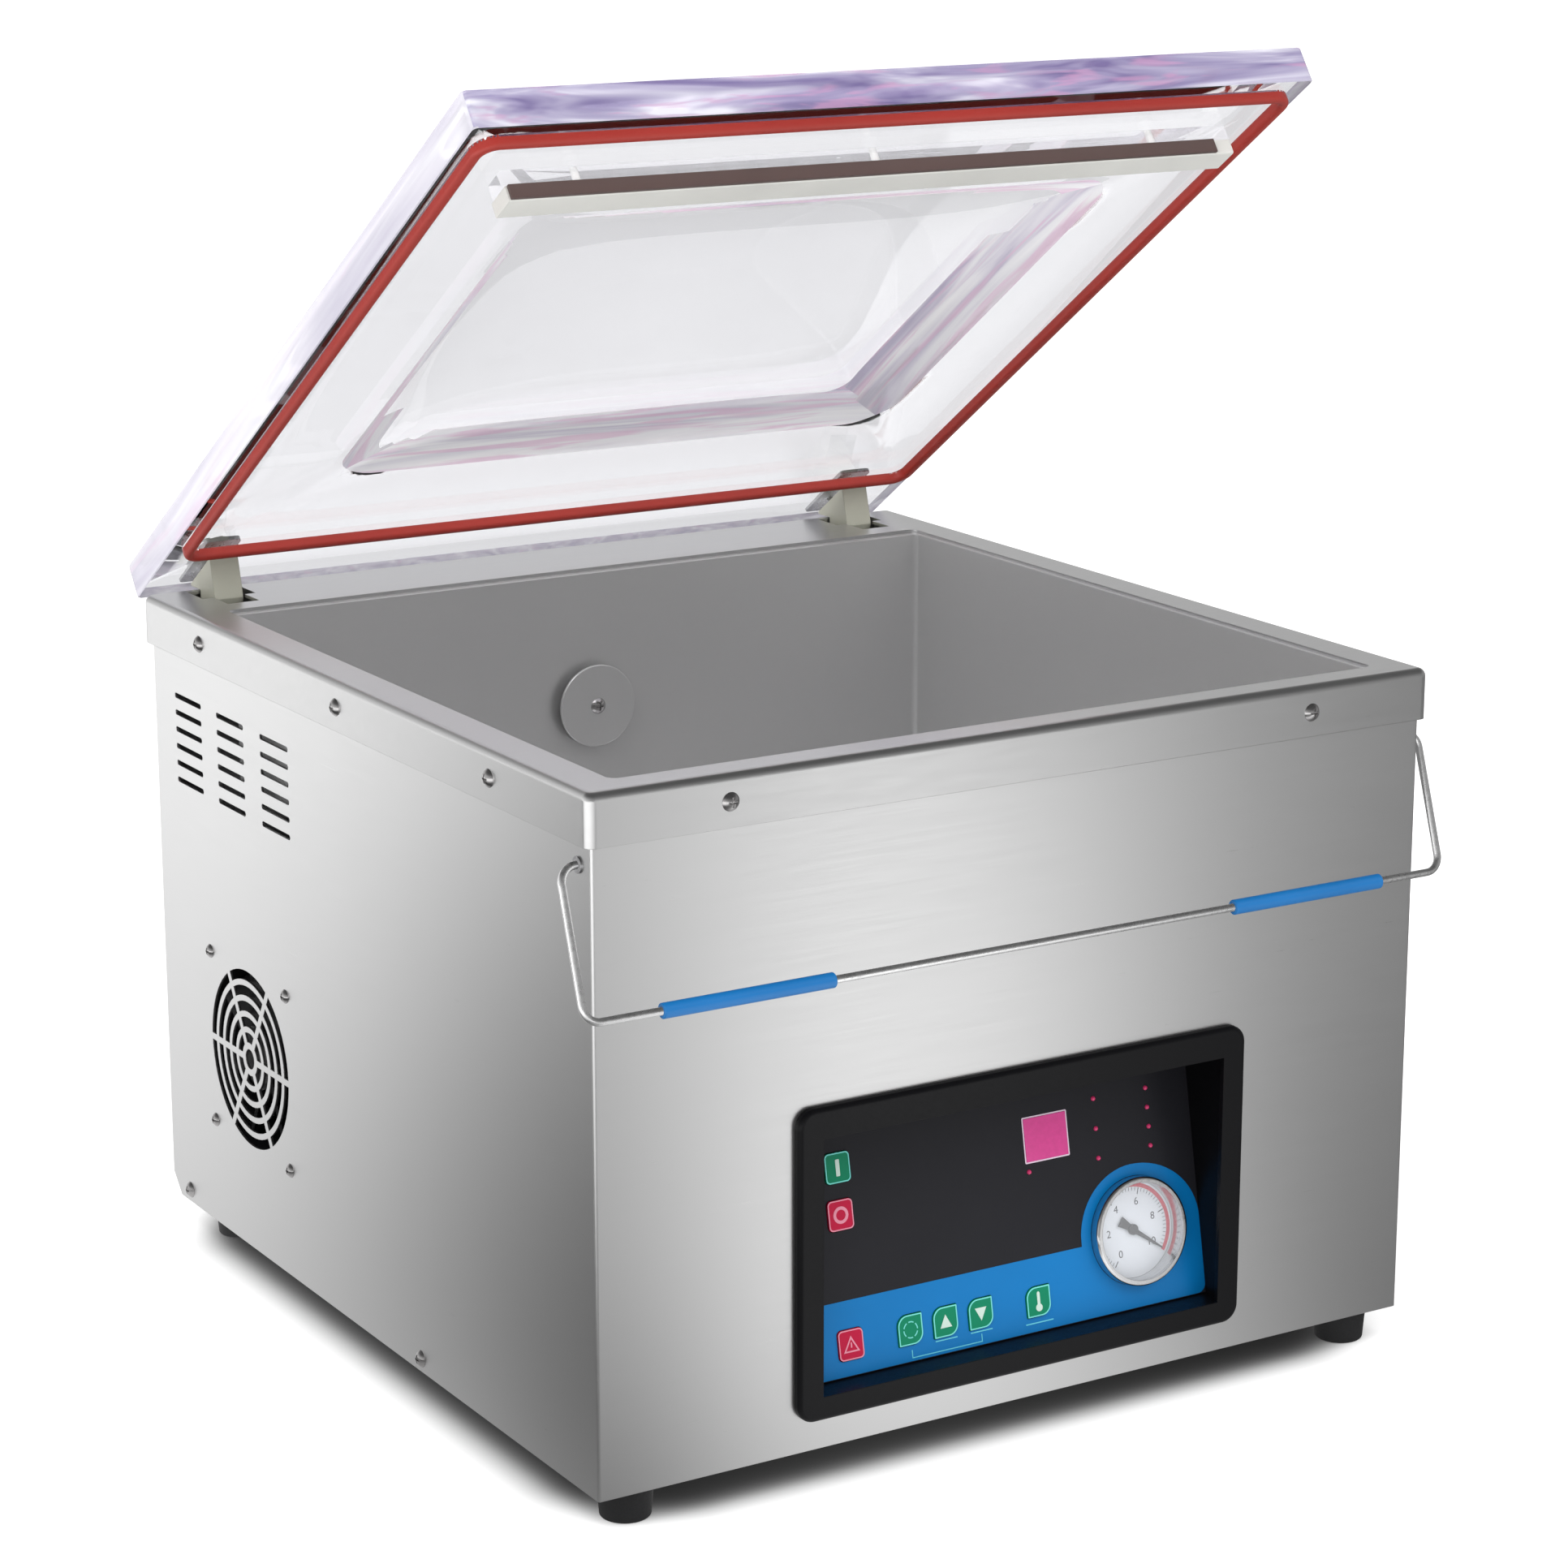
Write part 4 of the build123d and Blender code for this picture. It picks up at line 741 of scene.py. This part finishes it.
def make_lid(materials):
    """One closed body of acrylic: outer edge, gasket groove and dished pocket, as nested loops."""
    low, high = closed_box("lid")
    low, high = low / MM, high / MM
    gasket_low, gasket_high = closed_box("lid_gasket")
    gasket_low, gasket_high = gasket_low / MM, gasket_high / MM
    groove_x = gasket_high.x + GASKET_PLAY
    groove_front, groove_rear = gasket_low.y - GASKET_PLAY, gasket_high.y + GASKET_PLAY
    inner = GASKET_WIDTH - 2 * GASKET_PLAY
    roof = low.z + GROOVE_DEPTH + GASKET_PLAY
    pocket_middle = low.y + POCKET_FROM_FRONT + POCKET_LENGTH / 2
    lid_middle, half_x, half_y = (high.y + low.y) / 2, high.x, (high.y - low.y) / 2

    def frame_ring(inset, height):
        return ring_points(half_x - inset, low.y + inset, high.y - inset, LID_CORNER, height)

    def groove_ring(inset, height):
        radius = GASKET_CORNER + GASKET_WIDTH / 2 - inset
        return ring_points(groove_x - inset, groove_front + inset, groove_rear - inset, radius, height)

    rings = []                        # a loop, and the material of the band that starts there
    for share in TOP_SHARES:
        rings.append((ring_points(half_x * share, lid_middle - half_y * share, lid_middle + half_y * share,
                                  LID_CORNER, high.z), CLEAR))
    rings.append((frame_ring(LID_EDGE, high.z), CLEAR))
    rings.append((frame_ring(LID_EDGE * 0.3, high.z - LID_EDGE * 0.3), FRONT_EDGE))
    rings.append((frame_ring(0, high.z - LID_EDGE), FRONT_EDGE))
    rings.append((frame_ring(0, (high.z + low.z) / 2), FRONT_EDGE))
    rings.append((frame_ring(0, low.z + LID_LOWER_EDGE), FRONT_EDGE))
    rings.append((frame_ring(LID_LOWER_EDGE, low.z), CLEAR))
    for inset, height in ((0, low.z), (0, roof), (inner, roof), (inner, low.z)):
        rings.append((groove_ring(inset, height), CLEAR))
    rings.append((pocket_ring(POCKET_LIP, pocket_middle, low.z), CLEAR))
    for share in POCKET_SHARES:
        kind = POCKET_RIM if share > RIM_SHARE else REAR_WALL
        rings.append((pocket_ring(share, pocket_middle, low.z), kind))

    vertices, faces, kinds = [], [], []
    count = len(rings[0][0])
    for ring, _ in rings:
        vertices += ring
    for index, (_, kind) in enumerate(rings[:-1]):
        for step in range(count):
            after = (step + 1) % count
            here, there = index * count, (index + 1) * count
            faces.append((here + step, here + after, there + after, there + step))
            kinds.append(kind)
    for index in (0, len(rings) - 1):
        ring = rings[index][0]
        center = sum(ring, Vector()) / count
        center.z = ring[0].z
        vertices.append(center)
        for step in range(count):
            after = (step + 1) % count
            faces.append((index * count + step, index * count + after, len(vertices) - 1))
            kinds.append(CLEAR)
    closed_turn = TO_OPEN.inverted().to_3x3()
    lid = new_object("acrylic_lid", vertices, faces, materials, TO_OPEN @ Matrix.Scale(MM, 4))
    face_outwards(lid)
    for polygon, kind in zip(lid.data.polygons, kinds):
        normal = closed_turn @ polygon.normal
        if kind == FRONT_EDGE and normal.y > FACES_FRONT:
            kind = SIDE_EDGE
        elif kind in (REAR_WALL, POCKET_RIM):
            kind = pocket_look(normal, GENTLE_WALL if kind == REAR_WALL else GENTLE_RIM)
        polygon.material_index = kind
    smooth_by_angle(lid, LID_SMOOTH)
    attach(lid, "lid_group")
    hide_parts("lid")
    # Clear acrylic lets the studio light through to the chamber.
    lid.visible_shadow = False
    nodes["silicone_bar_holder"].visible_shadow = False


# ---- control plate graphics ---------------------------------------------------------------------------
# The control plate's own frame: x along it, y up its slope, z out of its face, and the gauge in the middle.
needle_joint = next(joint for joint in frame["joints"] if joint["name"] == "gauge_needle_turn")
PLATE_OUT = Vector(needle_joint["axis"]).normalized()
PLATE_ACROSS = Vector((1, 0, 0))
ON_PLATE = (Matrix.Translation(needle_joint["pos_m"])
            @ Matrix((PLATE_ACROSS, PLATE_OUT.cross(PLATE_ACROSS), PLATE_OUT)).transposed().to_4x4())


def plate_box(node, above=-1000.0):
    """Middle and size of a node on the plate, in millimetres, from its points above a height."""
    points = [ON_PLATE.inverted() @ vertex.co / MM for vertex in nodes[node].data.vertices]
    xs, ys = zip(*[(point.x, point.y) for point in points if point.z > above])
    return ((min(xs) + max(xs)) / 2, (min(ys) + max(ys)) / 2), (max(xs) - min(xs), max(ys) - min(ys))


PLATE_MIDDLE, PLATE_SIZE = plate_box("control_plate")
PLATE_LOW = PLATE_MIDDLE[1] - PLATE_SIZE[1] / 2
PLATE_HALF = PLATE_SIZE[0] / 2
PLATE_LEFT, PLATE_RIGHT = PLATE_MIDDLE[0] - PLATE_HALF, PLATE_MIDDLE[0] + PLATE_HALF
GAUGE_R = plate_box("gauge_case", above=1.0)[1][0] / 2
DISPLAY, DISPLAY_SIZE = plate_box("display_window", above=0.2)
KEY_GAP = 0.35
KEY_TOP = 1.0
LEAF_RADII = (0.6, 6.0, 0.6, 6.0)
ROUND_RADII = (2.6, 2.6, 2.6, 2.6)
LEAF_KEYS = ("cycle_key", "up_key", "down_key", "heat_key")
ROUND_KEYS = ("start_key", "stop_key", "halt_key")
KEYS = {}                     # a key's middle and its corner radii; all keys are one size
for key in LEAF_KEYS + ROUND_KEYS:
    place, KEY_SIZE = plate_box(key, above=0.5)
    KEYS[key] = (*place, LEAF_RADII if key in LEAF_KEYS else ROUND_RADII)


def grown(size, by):
    return (size[0] + 2 * by, size[1] + 2 * by)


def key_outline(name, grow=0.0):
    x, y, radii = KEYS[name]
    return rounded((x, y), grown(KEY_SIZE, grow), [radius + grow for radius in radii])


def make_panel_print(blue, pale, frame_print):
    """The blue field with its arch round the gauge, key legends and the frame round the display."""
    band_top = -2.4
    arch = 36.8
    join = -math.sqrt(arch ** 2 - band_top ** 2)
    corner = 5.0
    low = PLATE_LOW + 0.4
    field = [(PLATE_LEFT, low)] + arc((PLATE_RIGHT - corner, low + corner), corner, -90, 0, 8)
    field.append((PLATE_RIGHT, 0.0))
    for step in range(1, 33):
        angle = math.pi * step / 32
        reach = PLATE_RIGHT if math.cos(angle) > 0 else arch
        point = (reach * math.cos(angle), arch * math.sin(angle))
        if point[0] > join:
            field.append(point)
    field += [(join, band_top), (PLATE_LEFT, band_top)]
    holes = [arc((0, 0), GAUGE_R + 0.2, 0, 352.5, 47)]
    for name, (_, y, _) in KEYS.items():
        if y < band_top:
            holes.append(key_outline(name, KEY_GAP))
    print_piece("panel_blue_field", [[field, *holes]], ON_PLATE, blue, "housing")
    border = [[rounded(DISPLAY, grown(DISPLAY_SIZE, 0.9), [0.8] * 4),
               rounded(DISPLAY, grown(DISPLAY_SIZE, 0.12), [0.2] * 4)]]
    print_piece("display_frame", border, ON_PLATE, frame_print, "housing", low=0.13)
    lines = []
    left, right = KEYS["cycle_key"], KEYS["down_key"]
    foot, top = left[1] - 15.6, left[1] - 11.2
    width = 0.5
    bracket = [(left[0], foot), (left[0], top), (left[0] + width, top), (left[0] + width, foot + width),
               (right[0] - width, foot + width), (right[0] - width, top), (right[0], top), (right[0], foot)]
    lines.append([bracket])
    for name, drop, length in (("up_key", 9.7, 14.0), ("down_key", 9.7, 14.0), ("heat_key", 11.6, 18.0)):
        x, y, _ = KEYS[name]
        lines.append([rounded((x, y - drop), (length, 0.6), [0.25] * 4)])
    print_piece("panel_lines", lines, ON_PLATE, pale, "housing", low=0.13)


def make_key_prints(pale, pink, white):
    """Outline and symbol on each key, moving with the key."""
    for name, (x, y, radii) in KEYS.items():
        rim = pink if name in ("stop_key", "halt_key") else pale
        outline = [rounded((x, y), grown(KEY_SIZE, -0.2), [max(radius - 0.2, 0.4) for radius in radii]),
                   rounded((x, y), grown(KEY_SIZE, -0.85), [max(radius - 0.7, 0.3) for radius in radii])]
        print_piece(name + "_outline", [outline], ON_PLATE, rim, name + "_body", low=KEY_TOP)
    at = {name: (x, y) for name, (x, y, _) in KEYS.items()}

    def symbol(key, shapes, material):
        print_piece(key + "_symbol", shapes, ON_PLATE, material, key + "_body", low=KEY_TOP)

    def triangle(center, half_width, up, down):
        x, y = center
        return [(x - half_width, y + down), (x + half_width, y + down), (x, y + up)]

    symbol("start_key", [[rounded(at["start_key"], (2.4, 9.0), [0.4] * 4)]], white)
    symbol("stop_key", [[arc(at["stop_key"], 4.6, 0, 350, 35), arc(at["stop_key"], 2.9, 0, 350, 35)]], pink)
    halt = at["halt_key"]
    symbol("halt_key", [[triangle(halt, 5.0, 4.8, -4.0), triangle(halt, 3.6, 3.0, -3.2)],
                        [rounded((halt[0], halt[1] - 0.2), (0.8, 2.8), [0.2] * 4)]], pink)
    cycle = at["cycle_key"]
    ring = [[arc(cycle, 4.6, start, start + 44, 6) + arc(cycle, 4.0, start + 44, start, 6)]
            for start in range(0, 360, 60)]
    symbol("cycle_key", ring, pale)
    symbol("up_key", [[triangle(at["up_key"], 3.7, 3.9, -3.2)]], white)
    symbol("down_key", [[triangle(at["down_key"], 3.7, -3.9, 3.2)]], white)
    x, y = at["heat_key"]
    bulb = arc((x, y - 3.4), 2.1, 115, 425, 24)
    stem = [(x + 0.9, y + 4.6), (x + 0.4, y + 5.4), (x - 0.4, y + 5.4), (x - 0.9, y + 4.6)]
    symbol("heat_key", [[bulb + stem]], white)


def make_dial_print(dark, red, green):
    """Scale of the gauge: ticks, figures, the red zone and a small green mark."""
    dial_points = [ON_PLATE.inverted() @ vertex.co for vertex in nodes["gauge_dial"].data.vertices]
    low = max(point.z for point in dial_points) / MM
    zero, sweep, divisions = 236.0, 272.0, 50
    ticks = []
    for index in range(divisions + 1):
        angle = math.radians(zero - sweep * index / divisions)
        long_tick = index % 10 == 0
        inner, outer = (19.4 if long_tick else 21.2), 23.2
        width = 0.55 if long_tick else 0.28
        along = Vector((math.cos(angle), math.sin(angle)))
        across = Vector((-along.y, along.x)) * width / 2
        corners = (along * inner - across, along * outer - across,
                   along * outer + across, along * inner + across)
        ticks.append([[tuple(corner) for corner in corners]])
    print_piece("dial_ticks", ticks, ON_PLATE, dark, "housing", low=low, thick=0.06)
    zone = arc((0, 0), 25.7, 112, -38, 40) + arc((0, 0), 23.4, -38, 112, 40)
    print_piece("dial_red_zone", [[zone]], ON_PLATE, red, "housing", low=low, thick=0.06)
    mark = arc((0, 0), 25.6, 217, 207, 4) + arc((0, 0), 22.8, 207, 217, 4)
    print_piece("dial_green_mark", [[mark]], ON_PLATE, green, "housing", low=low, thick=0.06)
    figures = []
    for index, text in enumerate(("0", "2", "4", "6", "8", "10")):
        angle = math.radians(zero - sweep * index / 5)
        figures.append((text, 15.4 * math.cos(angle), 15.4 * math.sin(angle)))
    text_piece("dial_figures", figures, ON_PLATE, dark, "housing", size=6.0, low=low)


# ---- build --------------------------------------------------------------------------------------------
make_camera()
make_world()
make_floor()
add_softbox("key_light", azimuth=-70, elevation=48, distance=3.2, size=(2.2, 2.2), power=60)
add_softbox("fill_light", azimuth=40, elevation=35, distance=3.6, size=(2.6, 1.8), power=35)

looks = paint_nodes()
for obj in nodes.values():
    smooth_by_angle(obj)
smooth_by_angle(nodes["bail_wire"], WIRE_SMOOTH)
# Painted light: streak colours for the reflections and gathered light in the lid's edges and pocket walls.
VIOLET_TONES = ((0.15, 0.12, 0.26), (0.26, 0.23, 0.37), (0.38, 0.355, 0.48), (0.66, 0.65, 0.72))
PALE_TONES = ((0.46, 0.44, 0.53), (0.53, 0.51, 0.59), (0.60, 0.58, 0.65), (0.71, 0.71, 0.75))
WALL_TONES = ((0.50, 0.45, 0.60), (0.72, 0.69, 0.78), (0.86, 0.85, 0.89), (0.94, 0.93, 0.95))
WALL_ROSE = (0.78, 0.50, 0.68)
make_lid([looks["acrylic"],
          acrylic_painted_light("acrylic_front_edge", VIOLET_TONES, (0.46, 0.25, 0.41), (9, 70, 70), pink=0.53),
          acrylic_painted_light("acrylic_side_edge", PALE_TONES, (0.62, 0.48, 0.60), (70, 4, 60), through=0.2),
          acrylic_painted_light("acrylic_rear_wall", WALL_TONES, WALL_ROSE, (4, 60, 60), pink=0.48, glow=0.16),
          acrylic_painted_light("acrylic_side_wall", WALL_TONES, WALL_ROSE, (60, 4, 60), pink=0.52, glow=0.05)])
flat = {"depth": 0.02, "edge": 0, "Specular_IOR_Level": 0.2}
blue_print = plastic("blue_print", (0.001, 0.150, 0.41), 0.34, **flat)
pale_print = plastic("pale_print", (0.12, 0.52, 0.62), 0.4, **flat)
outline_print = plastic("outline_print", (0.16, 0.60, 0.55), 0.4, **flat)
frame_print = plastic("frame_print", (0.62, 0.50, 0.60), 0.4, **flat)
pink_print = plastic("pink_print", (0.66, 0.24, 0.32), 0.4, **flat)
white_print = plastic("white_print", (0.50, 0.62, 0.56), 0.4, **flat)
dark_print = plastic("dial_print", (0.04, 0.04, 0.05), 0.5, **flat)
red_print = plastic("red_print", (0.55, 0.012, 0.045), 0.45, **flat)
green_print = plastic("green_print", (0.02, 0.30, 0.10), 0.45, **flat)
make_panel_print(blue_print, pale_print, frame_print)
make_key_prints(outline_print, pink_print, white_print)
make_dial_print(dark_print, red_print, green_print)

bpy.context.scene.view_settings.view_transform = "Standard"
